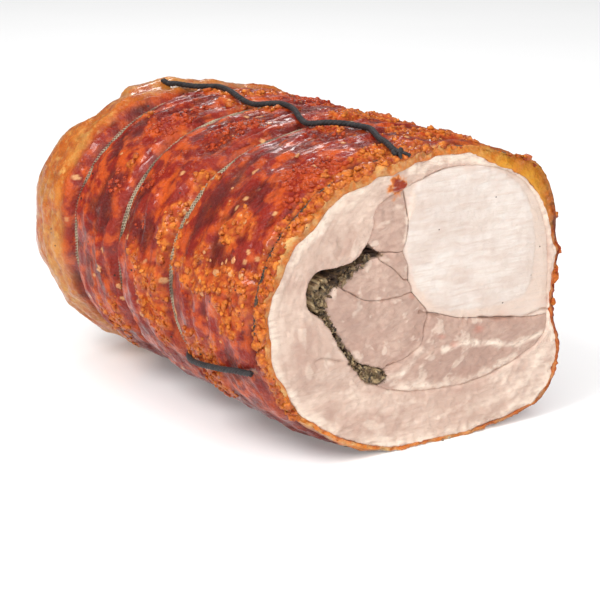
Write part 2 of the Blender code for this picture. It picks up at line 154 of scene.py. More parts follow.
# The line of the herb filling with its half width, and the hollows in it with their sizes
HERBS = [
    (-25.0, 29.0, 1.3), (-31.0, 28.2, 1.6), (-38.5, 25.5, 1.5), (-46.0, 20.5, 1.4), (-53.5, 19.0, 3.2),
    (-59.5, 17.0, 4.6), (-60.5, 10.0, 3.6), (-57.0, 3.5, 1.3), (-51.0, -6.5, 1.0), (-44.0, -17.0, 1.0),
    (-38.0, -25.0, 1.6), (-31.0, -30.5, 3.6), (-22.0, -33.0, 2.4),
]
HERB_VOIDS = [
    (-28.0, 29.0, 3.2), (-36.5, 27.0, 2.0), (-51.5, 20.5, 3.0), (-50.5, -7.0, 1.6), (-45.5, -15.0, 1.6),
]

# Streaks and cracks at the cut: the line of each in millimetres, its half width and how strong it is
FAT_STREAKS = [
    ([(13.4, -25.4), (24.0, -24.1), (42.9, -26.9), (58.5, -30.7), (67.5, -28.6), (82.5, -26.9)], 1.7, 0.9),
    ([(-12.6, -40.3), (-0.4, -41.5), (13.8, -43.7), (30.7, -43.2), (48.5, -40.1), (58.6, -36.0)], 2.4, 0.8),
    ([(-21.1, -33.6), (-15.1, -33.6), (-9.1, -31.7), (-5.5, -28.2), (-0.7, -22.9)], 2.0, 0.8),
    ([(-45.0, 56.0), (-28.0, 62.0), (-12.0, 66.0), (2.0, 68.0)], 2.0, 0.7),
    ([(-10.0, 62.0), (-6.0, 55.0), (-9.5, 46.0), (-10.5, 34.0)], 1.6, 0.8),
    ([(30.0, -60.0), (50.0, -57.0), (66.0, -50.0), (78.0, -38.0)], 3.0, 0.5),
]
LEAN_STREAKS = [
    ([(2.0, -36.3), (9.2, -30.8), (24.0, -27.3), (49.5, -31.8), (58.6, -33.9)], 3.2, 0.5),
    (
        [(-71.3, -27.8), (-54.1, -31.0), (-30.6, -37.9), (-12.5, -42.4), (12.0, -47.0), (34.0, -49.0)],
        3.4,
        0.55,
    ),
    ([(-21.2, -27.4), (-15.2, -25.4), (-9.9, -22.3), (-5.7, -19.4), (-0.9, -12.6)], 2.4, 0.9),
    ([(-62.0, -6.0), (-56.0, -14.0), (-48.0, -24.0)], 4.5, 0.6),
    ([(4.0, -9.0), (30.0, -13.0), (60.0, -20.0), (80.0, -22.0)], 3.6, 0.45),
]
CRACKS = [
    ([(-66.8, -22.1), (-62.8, -18.3), (-58.2, -17.2), (-51.3, -19.4), (-42.5, -23.0)], 0.7, 1.0),
    (
        [
            (-0.5, -3.4), (11.2, -7.4), (29.8, -11.1), (48.9, -15.1), (67.0, -16.8), (77.4, -14.8),
            (84.0, -17.2),
        ],
        0.8,
        1.0,
    ),
    ([(58.0, -31.5), (66.0, -29.5), (74.0, -27.0)], 0.5, 0.8),
    ([(-33.0, -25.5), (-22.0, -29.5), (-10.0, -26.5), (-1.5, -20.0)], 0.5, 0.4),
]

# Reddish spots and the one dark spot: place and size
BLUSHES = [
    (12.0, -18.0, 1.3), (36.0, -18.5, 1.8), (50.0, -13.5, 2.6), (78.0, -10.5, 2.2), (20.0, -24.0, 1.5),
    (-5.0, 5.0, 1.2),
]
CARAMEL_SPOT = (-16.5, 62.0, 6.2)

# The skin, the meshes and the small things
ROUND_MM = 85.0
GIRTH_MM = 540
BORE_GIRTH_MM = 480
RIM_ROWS = 9
RIND_THICKNESS_MM = 3.0
OUTLINE_RAYS = 480
HERB_OUTLINE_POINTS = 420
HERB_BITS = 900
MOST_CRUMBS = 2300
ROUND_BUBBLES = 70
RIM_CRUMBS = 640
RIM_CLUSTER_CRUMBS = 60
SPREAD_FLAKES = 24
CLUSTER_FLAKES = 14

# The strings: each tie's share of the full width, then sizes in metres
TIE_WIDTHS = [0.55, 0.8, 1.0, 1.0]
TIE_LIFT = 1.6 * MM
TIE_POINTS = 720
STRAND_RADIUS = 0.42 * MM
KNIT_PITCH = 4.8 * MM
CORD_PITCH = 7 * MM
CORD_STEP = 0.7 * MM
HEXAGON_HALVES = np.array([[0, 1, 2, 3], [0, 3, 4, 5]])


def smooth_loop(points, each=5):
    """A closed curve that runs smoothly through the points."""
    p = np.array(points, float)
    before, after, beyond = np.roll(p, 1, 0), np.roll(p, -1, 0), np.roll(p, -2, 0)
    made = []
    for t in np.arange(each) / each:
        bend = (2 * before - 5 * p + 4 * after - beyond) * t**2 + (3 * p - before - 3 * after + beyond) * t**3
        made.append(0.5 * (2 * p + (after - before) * t + bend))
    return np.stack(made, 1).reshape(-1, p.shape[1])


def smooth_line(points, each):
    """An open curve that runs smoothly through the points."""
    p = np.array(points, float)
    prolonged = np.concatenate([2 * p[:1] - p[1:2], p, 2 * p[-1:] - p[-2:-1]])
    return smooth_loop(prolonged, each)[each : each * len(p) + 1]


def line_distance(line, x, z, closed=False):
    """How far (x, z) is from a line of points."""
    a, b = line, np.roll(line, -1, 0)
    if not closed:
        a, b = line[:-1], line[1:]
    dx, dz = (b - a).T
    found = np.full(np.shape(x), 1e9)
    for k in range(len(a)):
        px, pz = x - a[k, 0], z - a[k, 1]
        t = np.clip((px * dx[k] + pz * dz[k]) / (dx[k] ** 2 + dz[k] ** 2), 0, 1)
        found = np.minimum(found, (px - t * dx[k]) ** 2 + (pz - t * dz[k]) ** 2)
    return np.sqrt(found)


def loop_distance(loop, x, z):
    """How far (x, z) lies outside a closed loop; inside it is negative."""
    far = line_distance(loop, x, z, closed=True)
    a, b = loop, np.roll(loop, -1, 0)
    inside = np.zeros(np.shape(x), bool)
    for (ax, az), (bx, bz) in zip(a, b):
        if az != bz:
            inside ^= ((az > z) != (bz > z)) & (x < ax + (z - az) * (bx - ax) / (bz - az))
    return np.where(inside, -far, far)


def herb_outline():
    """The closed outline of the herb filling."""
    x, z, half = np.array(HERBS, float).T
    dx, dz = np.gradient(x), np.gradient(z)
    side = np.stack([-dz, dx], 1) * (half / np.hypot(dx, dz))[:, None]
    middle = np.stack([x, z], 1)
    return smooth_loop(np.concatenate([middle + side, (middle - side)[::-1]]), 3)


def reach(centre, inside, rays, longest=100.0, step=0.25):
    """The outline of a region round its centre: on each ray, the last place before one that isn't inside."""
    angles = np.arange(rays) * tau / rays
    out = np.arange(step, longest, step)
    x = centre[0] + np.cos(angles)[:, None] * out
    z = centre[1] + np.sin(angles)[:, None] * out
    last = out[inside(x, z).argmin(1)] - step
    return np.stack([centre[0] + np.cos(angles) * last, centre[1] + np.sin(angles) * last], 1)


def evenly(loop, count):
    """The same closed outline with its points at even distances along it."""
    closed = np.concatenate([loop, loop[:1]])
    run = np.concatenate([[0], np.cumsum(np.hypot(*np.diff(closed, axis=0).T))])
    marks = np.arange(count) * run[-1] / count
    return np.stack([np.interp(marks, run, closed[:, i]) for i in range(2)], 1)


def along(path):
    """The length of a path from its start to each of its points."""
    return np.concatenate([[0], np.cumsum(np.linalg.norm(np.diff(path, axis=0), axis=1))])


def degrees_off(theta, angle):
    """How far an angle in radians is from one in degrees, in degrees."""
    return (np.degrees(theta) - angle + 180) % 360 - 180


def hump(value, width):
    """1 where the value is 0, less and less away from it."""
    return np.exp(-((value / width) ** 2))


def smoothstep(low, high, value):
    """From 0 at low to 1 at high, without corners; low may be the larger."""
    t = np.clip((value - low) / (high - low), 0, 1)
    return t * t * (3 - 2 * t)


# Noise over points in millimetres


def number_of(cell, seed):
    """A number from 0 to 1 that belongs to a whole-number cell."""
    x, y, z = (cell[..., i].astype(np.int64) for i in range(3))
    h = (x * 73856093) ^ (y * 19349663) ^ (z * 83492791) ^ (seed * 265443576)
    h = ((h ^ (h >> 13)) * 1274126177) & 0xFFFFFFFF
    h = ((h ^ (h >> 16)) * 668265263) & 0xFFFFFFFF
    return ((h ^ (h >> 15)) & 0xFFFFFF) / 0xFFFFFF


def noise(p, size, seed=0):
    """Soft noise from -1 to 1 with features of the given size."""
    q = p / size + 0.37 * seed
    base = np.floor(q).astype(np.int64)
    f = q - base
    f = f * f * (3 - 2 * f)
    total = np.zeros(q.shape[:-1])
    for corner in np.ndindex(2, 2, 2):
        weight = np.prod(np.where(corner, f, 1 - f), -1)
        total += weight * number_of(base + np.array(corner), seed)
    return 2 * total - 1


def rough(p, size, seed=0, octaves=3):
    """Noise with finer and finer noise added to it."""
    return sum(noise(p, size / 2**k, seed + 17 * k) / 2**k for k in range(octaves))


def cells(p, size, seed=0):
    """How far the nearest of many scattered points is, as a share of size, and that point's number."""
    q = p / size
    base = np.floor(q).astype(np.int64)
    near = np.full(q.shape[:-1], 9.0)
    tag = np.zeros(q.shape[:-1])
    for offset in np.ndindex(3, 3, 3):
        cell = base + np.array(offset) - 1
        spot = cell + np.stack([number_of(cell, seed + k) for k in (1, 2, 3)], -1)
        away = np.linalg.norm(q - spot, axis=-1)
        closer = away < near
        near = np.where(closer, away, near)
        tag = np.where(closer, number_of(cell, seed + 7), tag)
    return near, tag


def flat_place(x, z, y=0.0):
    """Places on the cut as points for the noise."""
    return np.stack([x, 0 * x + y, z], -1)


# The form of the rind


def bell(theta, angle, spread):
    """A bell over the angle round the roll, with its top and spread in degrees."""
    return np.exp(-0.5 * (degrees_off(theta, angle) / spread) ** 2)


def section_radius(theta, share=0.0):
    """The radius of the plain section, at a share of the way from the cut to the far end."""
    c, s = np.abs(np.cos(theta)), np.abs(np.sin(theta))
    radius = ((c / HALF_WIDTH) ** SQUARENESS + (s / HALF_HEIGHT) ** SQUARENESS) ** (-1 / SQUARENESS)
    radius = radius - SIDE_SHIFT * (1 - SIDE_SHIFT_FADE * share) * np.cos(theta)
    for angle, spread, near, far in LOBES:
        radius = radius + (near + (far - near) * share) * bell(theta, angle, spread)
    return radius


def tie_line(k, theta):
    """Where tie k lies along Y at each angle: a string is never quite square to the roll."""
    k %= len(TIE_Y)
    return TIE_Y[k] + TIE_WANDER[k] * np.sin(theta * (1 + k % 2) + 1.9 * k)


def from_tie(theta, y):
    """How far the nearest tie is, in millimetres."""
    return np.min([np.abs(y - tie_line(k, theta)) for k in range(len(TIE_Y))], 0) / MM


def end_reach(theta):
    """How far the far end leans out or dips at each angle."""
    dips = sum(depth * bell(theta, angle, spread) for angle, spread, depth in END_CREASES)
    return END_LEAN * np.cos(theta - radians(END_LEAN_ANGLE)) - dips


def shoulder_line(theta):
    """Where the last bay turns over into the far end."""
    return np.maximum(FAR_Y + end_reach(theta) - SHOULDER_DEPTH, tie_line(-1, theta) + LAST_BAY_LEAST)


def relief(theta, y):
    """Wrinkles and crags of the rind in metres."""
    wrinkle = np.sin(y * 430 + 2.2 * np.sin(2 * theta) + 1.1 * np.sin(7 * theta))
    crag = np.sin(9 * theta + y * 210) * np.sin(6 * theta - y * 330 + 1) * np.sin(3 * theta + 1.5)
    return WRINKLE * wrinkle * (0.55 + 0.45 * np.sin(3 * theta + 30 * y)) + CRAG * crag


def pucker(theta, k):
    """The gathers beside tie k in metres."""
    return PUCKER * np.sin(13 * theta + 2.0 * k + 1.3 * np.sin(2 * theta)) * np.sin(5 * theta + k)


def swell_share(theta):
    """How much of a bay's swell shows at each angle."""
    return 1 + sum(share * bell(theta, angle, spread) for angle, spread, share in SWELL_SHARES)


def rind_radius(theta, y):
    """The rind's distance from the middle of the roll, before it is flattened underneath."""
    radius = section_radius(theta, np.clip((y - CUT_Y) / (FAR_Y - CUT_Y), 0, 1))
    ties = [tie_line(k, theta) for k in range(len(TIE_Y))]
    last = ties[-1] + (shoulder_line(theta) - ties[-1]) / LAST_BAY_SHARE
    lines = [np.full_like(theta, CUT_Y), *ties, last]
    for swell, start, end in zip(BAY_SWELL, lines, lines[1:]):
        share = np.clip((y - start) / (end - start), 0, 1)
        radius = radius + swell_share(theta) * swell * (1 - np.abs(2 * share - 1) ** SWELL_POWER)
        radius = radius + relief(theta, y) * np.minimum(1, 3 * np.minimum(share, 1 - share))
    for k, tie in enumerate(ties):
        groove = hump(y - tie, GROOVE_HALF_WIDTH)
        beside = hump(y - tie, 3 * GROOVE_HALF_WIDTH) - groove
        radius = radius - GROOVE_DEPTH * groove + pucker(theta, k) * beside
    return radius


def lowest(theta, y):
    """The height that the flattened underside keeps, with its notches for the ties."""
    notch = sum(hump(y - tie_line(k, theta), GROOVE_HALF_WIDTH) for k in range(len(TIE_Y)))
    return GROOVE_UNDERNEATH * notch - CENTRE[2]


def cut_face(x, z):
    """Where the cut lies along Y."""
    theta = np.arctan2(z, x)
    share = np.hypot(x, z) / section_radius(theta)
    slope = np.clip((share - 1 + CHAMFER_WIDTH) / CHAMFER_WIDTH, 0, 1) ** 1.5
    chamfer = CHAMFER_DEPTH * bell(theta, CHAMFER_ANGLE, CHAMFER_SPREAD) * slope
    return CUT_Y + chamfer + CUT_WAVE * np.sin(x * 75 + 1) * np.sin(z * 95 + 0.4)


def far_face(x, z):
    """Where the roasted end lies along Y."""
    theta = np.arctan2(z, x)
    share = np.hypot(x, z) / section_radius(theta, 1.0)
    rim = 0.55 * end_reach(theta) * np.clip((share - 0.35) / 0.5, 0, 1) ** 2
    return FAR_Y + END_DOME * (1 - share**2) + rim


# The skin's fine form. Patches: angle, place along Y and spread in each, then strength.

CRUST_PATCHES = [
    (165, -31, 13, 12, 1.0), (184, -20, 16, 14, 1.0), (141, -35, 6, 10, 0.8), (155, -84, 9, 16, 0.7),
    (168, -66, 12, 14, 0.9), (172, -99, 14, 16, 0.9), (100, -106, 30, 5, 1.0), (150, -112, 40, 5, 1.1),
    (120, 56, 14, 9, 0.5), (97, -62, 8, 20, 0.7), (70, -90, 22, 22, 0.8), (60, -20, 30, 40, 0.7),
    (200, -60, 18, 30, 0.7), (20, -60, 30, 60, 0.5), (-20, 20, 30, 60, 0.6), (205, 40, 20, 20, 0.5),
    (150, 30, 12, 12, 0.4), (95, 10, 12, 16, 0.7), (88, 46, 16, 14, 0.8),
]
BUBBLE_PATCHES = [
    (127, -96, 9, 13, 1.0), (124, 33, 16, 16, 0.8), (118, -14, 16, 14, 0.9), (100, -60, 16, 22, 0.7),
    (150, 0, 18, 12, 0.4), (178, -60, 14, 20, 0.4), (60, 40, 30, 40, 0.5), (160, 34, 20, 14, 0.4),
]
SMOOTH_PATCHES = [
    (136, -98, 11, 17, 1.0), (143, -9, 16, 9, 1.0), (144, -52, 16, 10, 0.9), (119, -70, 14, 12, 0.8),
    (156, 8, 20, 8, 0.7), (135, 40, 18, 9, 0.6), (185, 22, 22, 16, 0.6),
]


def patches(table, theta, y):
    """How strong the nearest patch of a table is at each place."""
    found = np.zeros_like(y)
    for angle, middle, spread, reach_mm, strength in table:
        near = hump(degrees_off(theta, angle), spread) * hump(y / MM - middle, reach_mm)
        found = np.maximum(found, strength * near)
    return found


def wrapped(theta, y, round_mm=ROUND_MM):
    """Places on the rind as points for the noise, which then runs on round the roll."""
    return np.stack([round_mm * np.cos(theta), round_mm * np.sin(theta), y / MM], -1)


def skin(theta, y):
    """The height of the skin's fine form in millimetres, and its masks, at each place."""
    even, folds = wrapped(theta, y), wrapped(theta, y, ROUND_MM / 4.5)
    folds[..., 2] += 3.5 * noise(even, 22, 5)
    smooth = patches(SMOOTH_PATCHES, theta, y)
    patchy = rough(even, 16, 11)
    crust = smoothstep(0.36, 0.62, patches(CRUST_PATCHES, theta, y) + 0.42 * patchy - 0.25 * smooth)
    bubble = smoothstep(0.25, 0.7, patches(BUBBLE_PATCHES, theta, y) + 0.3 * patchy) * (1 - 0.8 * crust)
    at_end = smoothstep(0.074, 0.082, y)
    crust = crust * (1 - 0.85 * at_end)
    ties = from_tie(theta, y)
    fold = (1 - np.abs(noise(folds, 5.5, 21))) ** 2.5 + 0.5 * (1 - np.abs(noise(folds, 2.8, 22))) ** 2
    fold_strength = (0.5 + 0.9 * hump(ties, 12)) * (1 - 0.8 * crust)
    fold_strength = fold_strength * (1 - 0.35 * smooth) * (1 - 0.6 * at_end)
    height = 1.15 * fold * fold_strength - 0.6
    height += 1.0 * rough(even, 15, 31) + 0.35 * rough(even, 5, 32)
    lump, tag = cells(even, 3.6, 41)
    fine, fine_tag = cells(even, 1.9, 42)
    lumps = 1.5 * np.clip(1 - lump, 0, 1) * (0.4 + tag)
    fine_lumps = 0.55 * np.clip(1 - fine, 0, 1) * (0.4 + fine_tag)
    height += crust * (0.5 + lumps + fine_lumps)
    dome, size = cells(even, 3.4, 51)
    radius = 0.18 + 0.26 * size
    raised = np.sqrt(np.clip(1 - (dome / radius) ** 2, 0, 1))
    height += bubble * raised * (0.55 + 0.7 * size)
    small, small_size = cells(even, 2.1, 52)
    raised_small = np.sqrt(np.clip(1 - (small / (0.16 + 0.26 * small_size)) ** 2, 0, 1))
    sprinkled = np.maximum(bubble, smoothstep(0.0, 0.6, rough(even, 11, 53)) * 0.8) * (1 - crust)
    height += sprinkled * raised_small * 0.5
    calm = smoothstep(0.5, 3.2, ties)
    big_tops = smoothstep(0.66, 0.28, lump) * (0.45 + 0.55 * tag)
    tops = np.maximum(big_tops, 0.8 * smoothstep(0.5, 0.2, fine) * fine_tag)
    # low: the lower left side of the roll, which the deep mask below darkens as painted shade.
    low = smoothstep(-34, -62, ROUND_MM * np.sin(theta)) * smoothstep(-1, 0.2, -np.cos(theta))
    masks = {
        "crust": crust,
        "gold": crust * tops,
        # deep: painted shade in the low places of the relief and on the lower left side of the roll.
        "deep": np.clip(smoothstep(0.35, -0.9, height) + 0.75 * low, 0, 1) * (1 - at_end),
        "bubble": np.maximum(bubble * raised, sprinkled * raised_small),
        # fold: how strongly the folds stand out; the material paints a mauve sheen over it.
        "fold": np.clip(fold * fold_strength, 0, 1.5),
        # hollow: painted shade in the grooves beside the ties and in low places of the relief, drawn with the
        # char colour.
        "hollow": np.clip(hump(ties, 3.5) + 0.5 * smoothstep(0.2, -0.5, height), 0, 1),
        "end": at_end,
        "flake": smoothstep(0.955, 0.975, tag) * smoothstep(0.44, 0.36, lump) * (1 - at_end),
    }
    return height * (0.25 + 0.75 * calm), masks


def rind_depth(theta):
    """How deep the rind goes in from the rim at the cut, in millimetres."""
    return 1.8 + 4.2 * bell(theta, 140, 36) + 8.0 * bell(theta, 42, 13) + 2.4 * bell(theta, 95, 14)


def around_roll(radius, theta, y, floor=-1.0):
    """Points at a distance from the middle of the roll, kept above a floor."""
    return np.stack([radius * np.cos(theta), y, np.maximum(radius * np.sin(theta), floor)], -1)


def on_rind(theta, y, lift=0.0):
    """Points on the fine rind, with the masks of each."""
    height, masks = skin(theta, y)
    radius = rind_radius(theta, y) + height * MM + lift
    floor = lowest(theta, y)
    masks["under"] = smoothstep(4 * MM, -1 * MM, radius * np.sin(theta) - floor)
    return around_roll(radius, theta, y, floor + 0.02 * MM * height), masks


# Meshes


def add_mesh(name, points, faces, masks=None):
    """A mesh object from points round the middle of the roll, with its masks as attributes."""
    mesh = bpy.data.meshes.new(name)
    mesh.from_pydata((np.asarray(points) + CENTRE).tolist(), [], faces.tolist())
    for key, values in (masks or {}).items():
        attribute = mesh.attributes.new(key, "FLOAT", "POINT")
        attribute.data.foreach_set("value", np.asarray(values, np.float32).ravel())
    mesh.shade_smooth()
    obj = bpy.data.objects.new(name, mesh)
    bpy.context.scene.collection.objects.link(obj)
    return obj


def tube_faces(rows, around, closed):
    """Quads over a grid of rows by around points that closes round, and closes end to end if asked."""
    a = np.arange(rows if closed else rows - 1)[:, None]
    i = np.arange(around)[None, :]
    b, j = (a + 1) % rows, (i + 1) % around
    return np.stack([a * around + i, a * around + j, b * around + j, b * around + i], -1).reshape(-1, 4)


def joined(rows, keys):
    """Rows of points and of their masks, as one array and one set of masks."""
    return np.concatenate(rows), {key: np.concatenate([row[key] for row in keys]) for key in keys[0]}


def finished(obj, material, nodes=()):
    """The piece gets its material and the nodes that it stands for."""
    obj.data.materials.append(material)
    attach(obj, "root")
    if nodes:
        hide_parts(*nodes)


def closed_piece(name, points, faces, masks, material, nodes=()):
    """A closed body as a piece, with all its faces turned out."""
    obj = add_mesh(name, points, faces, masks)
    body = bmesh.new()
    body.from_mesh(obj.data)
    bmesh.ops.recalc_face_normals(body, faces=body.faces)
    body.to_mesh(obj.data)
    body.free()
    finished(obj, material, nodes)


def rind_bay(name, start, end, material, spacing, first=False, last=False):
    """One bay of the rind as a closed shell: its outside, its two edges and its inside."""
    around = int(GIRTH_MM / spacing)
    theta = np.arange(around) * tau / around
    lower, upper = start(theta), end(theta)
    rows, keys = [], []

    def keep(points, masks):
        rows.append(points)
        keys.append(masks)

    count = int(np.abs(upper - lower).mean() / MM / spacing)
    if first:
        outer, masks = on_rind(theta, lower)
        depth = rind_depth(theta) * MM
        edge = np.stack([outer[:, 0], outer[:, 2]], 1)
        size = np.hypot(*edge.T)
        for k in range(RIM_ROWS):
            share = 1 - (k + 0.5) / RIM_ROWS
            flat = edge * (1 - share * depth / size)[:, None]
            place = flat_place(*flat.T / MM)
            lumps = rough(place, 4.5, 61) * 1.1 + rough(place, 1.7, 62) * 0.6
            y = cut_face(*flat.T) - (0.5 + lumps * min(1, 3 * (1 - share))) * MM
            row_masks = {key: 0 * value for key, value in masks.items()}
            row_masks["crust"] = np.full(around, 0.6)
            row_masks["rim"] = 1 - 0.5 * share + 0.25 * rough(place, 3, 63)
            row_masks["rim_gold"] = bell(theta, 44, 15)
            low_side = 0.5 * bell(theta, -50, 30) * (1 - share)
            row_masks["rim_dark"] = bell(theta, 2, 26) * (1.2 - share) + low_side
            keep(flat_place(*flat.T, y), row_masks)
    for k in range(count + 1):
        y = lower + (upper - lower) * k / count
        points, masks = on_rind(theta, y)
        masks["rim"] = hump((y - lower) / MM, 2.5) if first else 0 * theta
        masks["rim_gold"] = bell(theta, 44, 14) * hump((y - lower) / MM, 12) if first else 0 * theta
        masks["rim_dark"] = bell(theta, 0, 30) * hump((y - lower) / MM, 9) if first else 0 * theta
        keep(points, masks)
    if last:
        shoulder, turn_rows = upper, int(1.25 * SHOULDER_DEPTH / MM / spacing)
        for k in range(1, turn_rows + 1):
            turn = k / turn_rows * pi / 2
            bulge = shoulder + SHOULDER_DEPTH * sin(turn)
            inset = 1 - SHOULDER_INSET * (1 - cos(turn))
            height, masks = skin(theta, bulge)
            radius = (rind_radius(theta, shoulder) + height * MM) * inset
            for key in ("under", "rim", "rim_gold", "rim_dark"):
                masks[key] = 0 * theta
            keep(around_roll(radius, theta, bulge, lowest(theta, shoulder) * inset), masks)
    outside = len(rows)
    for k in (outside - 1, (outside + RIM_ROWS - 1) // 2, RIM_ROWS if first else 0):
        inner = rows[k].copy()
        depth = (rind_depth(theta) if first else RIND_THICKNESS_MM) * MM
        size = np.hypot(inner[:, 0], inner[:, 2])
        inner[:, [0, 2]] *= (1 - depth / size)[:, None]
        if k < outside - 1:
            inner[:, 1] += 2 * MM
        keep(inner, {key: 0 * value for key, value in keys[k].items()})
    points, masks = joined(rows, keys)
    faces = tube_faces(len(rows), around, True)
    closed_piece(name, points, faces, masks, material, ["belly_wrap"])


# The cut


def streak(table, x, z, wander):
    """How strong the nearest streak of a table is at each place."""
    shift = wander * rough(flat_place(x, z), 5, 90)
    found = np.zeros(np.shape(x))
    for line, half, strength in table:
        away = np.abs(line_distance(smooth_line(line, 5), x, z) + shift)
        found = np.maximum(found, strength * hump(away, half))
    return found


GRAIN_DEPTH = {"loin_meat": 0.12, "core_meat": 0.28, "belly_meat": 0.40}
RUGGED = {"loin_meat": 0.35, "core_meat": 0.8, "belly_meat": 1.0}
ROLLED_EDGE = {"loin_meat": 0.5, "core_meat": 1.5, "belly_meat": 0.6}


def meat_relief(x, z, kind):
    """How far the meat stands back from the cut, in millimetres, and its masks. Places are in millimetres."""
    place = flat_place(x, z)
    theta, out = np.arctan2(z, x), np.hypot(x, z)
    wobble = noise(place, 9, 3)
    ring = np.zeros(np.shape(x))
    if kind == "loin_meat":
        grain_at = flat_place(x / 9, z + 1.2 * wobble + 0.02 * x)
        ring = smoothstep(-1.2, 1.0, loop_distance(smooth_loop(LOIN_EYE), x, z) + 0.8 * rough(place, 4, 91))
    elif kind == "core_meat":
        grain_at = flat_place((x + z) / 3, (z - 0.3 * x) + wobble)
    else:
        low = smoothstep(-22, -34, z)
        grain_x = theta * 14 * (1 - low) + low * x / 9
        grain_at = flat_place(grain_x, out * (1 - low) + low * z + 1.5 * wobble)
    grain = rough(grain_at, 1.5, 71, 2)
    fat = streak(FAT_STREAKS, x, z, 1.4)
    lean = streak(LEAN_STREAKS, x, z, 1.8)
    broken = smoothstep(-0.5, 0.5, rough(place, 8, 92) + 0.25)
    crack = streak(CRACKS, x, z, 0.5) * broken
    marble = smoothstep(0.15, 0.75, rough(flat_place(theta * 26, out * 1.2 + 2 * wobble), 5.5, 93))
    if kind == "loin_meat":
        marble = marble * ring
    deep, rugged = GRAIN_DEPTH[kind], RUGGED[kind]
    back = deep * grain + rugged * (0.55 * rough(place, 8, 72) + 0.40 * rough(place, 2.8, 73))
    pit, pit_size = cells(place, 3.8, 94)
    back += rugged * 0.7 * np.clip(1 - pit / (0.22 + 0.2 * pit_size), 0, 1) * (pit_size > 0.72)
    back += 1.5 * crack - 0.4 * fat + 0.25 * lean - 0.3 * marble + 0.5 * ring
    blush = np.zeros(np.shape(x))
    for bx, bz, size in BLUSHES:
        blush = np.maximum(blush, hump(np.hypot((x - bx) / 1.6, z - bz), size * 1.4))
    cx, cz, size = CARAMEL_SPOT
    away = np.hypot(x - cx, z - cz) + 2.4 * rough(place, 3.5, 74)
    spot = smoothstep(size, size - 3.0, away)
    back -= 0.7 * spot
    shade = (rough(place, 13, 95) + 0.6 * rough(place, 3.2, 96)) * (0.3 if kind == "loin_meat" else 1.0)
    masks = {
        "grain": grain, "fat": fat, "lean": lean, "crack": crack, "blush": blush, "spot": spot, "ring": ring,
        "marble": marble, "shade": shade,
    }
    return back, masks


def face_points(flat_mm, far, kind, recess=0.0):
    """Points of the cut or of the roasted end, with masks, from places in millimetres."""
    x, z = flat_mm.T
    back, masks = meat_relief(x, z, kind)
    herb = loop_distance(herb_outline(), x, z)
    patchy = smoothstep(-0.3, 0.6, rough(flat_place(x, z), 2.4, 75))
    masks["stain"] = hump(np.maximum(herb, 0), 2.0) * patchy
    masks["far"] = np.full(len(x), float(far))
    if far:
        flat = flat_mm * END_GATHER * MM
        lumps = rough(flat_place(x, z, 50), 9, 76) * 1.2
        y = far_face(*flat.T) + (lumps - recess) * MM
    else:
        flat = flat_mm * MM
        y = cut_face(*flat.T) + (back + recess) * MM
    return flat_place(*flat.T, y), masks


def muscle(name, outline, centre, kind, material, spacing):
    """A muscle that runs through the roll, with fine relief where it is cut."""
    count = len(outline)
    middle = np.array(centre, float)
    size = np.hypot(*(outline - middle).T)
    rings = max(8, int(np.median(size) / spacing))
    rows, keys = [], []
    for far in (False, True):
        steps = rings if not far else max(8, rings // 3)
        shares = 1 - (np.arange(steps) / steps) ** 1.15
        for share in shares:
            flat = middle + (outline - middle) * share
            inward = (1 - share) * size
            broken = smoothstep(-0.6, 0.4, noise(flat_place(*flat.T), 7, 97))
            recess = 0.25 * hump(inward, 0.8) + ROLLED_EDGE[kind] * np.exp(-inward / 2.6)
            recess = recess * (0.35 + 0.65 * broken)
            points, masks = face_points(flat, far, kind, recess)
            masks["edge"] = hump(inward, 2.6) * (0.3 + 0.7 * broken)
            rows.append(points)
            keys.append(masks)
        if not far:
            rows, keys = rows[::-1], keys[::-1]
            rows.append(rows[-1] + (0, 0.8 * MM, 0))
            keys.append(keys[-1])
    grid = tube_faces(len(rows), count, False)
    points, masks = joined(rows, keys)
    caps = []
    for start in (0, len(points) - count):
        ring = start + np.arange(count)
        pole = len(points)
        points = np.concatenate([points, points[ring].mean(0)[None]])
        masks = {key: np.append(values, values[ring].mean()) for key, values in masks.items()}
        caps.append(np.stack([ring, np.roll(ring, -1), np.full(count, pole), np.full(count, pole)], -1))
    faces = grid.tolist() + [face[:3].tolist() for face in np.concatenate(caps)]
    closed_piece(name + "_cut", points, np.array(faces, object), masks, material, [name])


def belly_ring(name, bore, material, spacing):
    """The belly under the rind: its cut face, its far face, the bore's wall and its outside."""
    around = len(bore)
    theta = np.arctan2(bore[:, 1], bore[:, 0])
    edge = on_rind(theta, np.full(around, CUT_Y))[0][:, [0, 2]] / MM
    size = np.hypot(*edge.T)
    edge = edge * (1 - (rind_depth(theta) - 0.3) / size)[:, None]
    far_edge = edge / size[:, None] * (size[:, None] - 4.0) * (1 - SHOULDER_INSET) / END_GATHER
    rows, keys = [], []
    steps = int(24 / spacing)
    for far, rim in ((False, edge), (True, far_edge)):
        count = steps if not far else steps // 3
        shares = np.arange(count + 1) / count
        for share in shares if not far else shares[::-1]:
            flat = rim + (bore - rim) * share
            to_bore = np.hypot(*(bore - flat).T)
            points, masks = face_points(flat, far, "belly_meat", 0.9 * hump(to_bore, 0.9))
            from_rind = np.hypot(*(flat - rim).T)
            masks["edge"] = hump(to_bore, 2.4)
            cream = smoothstep(7.0, 1.0, from_rind + 2.4 * rough(flat_place(*flat.T), 8, 77))
            masks["fat"] = np.maximum(masks["fat"], cream)
            rows.append(points)
            keys.append(masks)
    points, masks = joined(rows, keys)
    faces = tube_faces(len(rows), around, True)
    closed_piece(name, points, faces, masks, material, ["belly_wrap"])


def herb_void(x, z):
    """Where the herb filling has fallen out and leaves a hollow, which the herb material also darkens as
    painted shade.
    """
    hollow = np.zeros(np.shape(x))
    for vx, vz, size in HERB_VOIDS:
        hollow = np.maximum(hollow, hump(np.hypot(x - vx, z - vz), size))
    return hollow


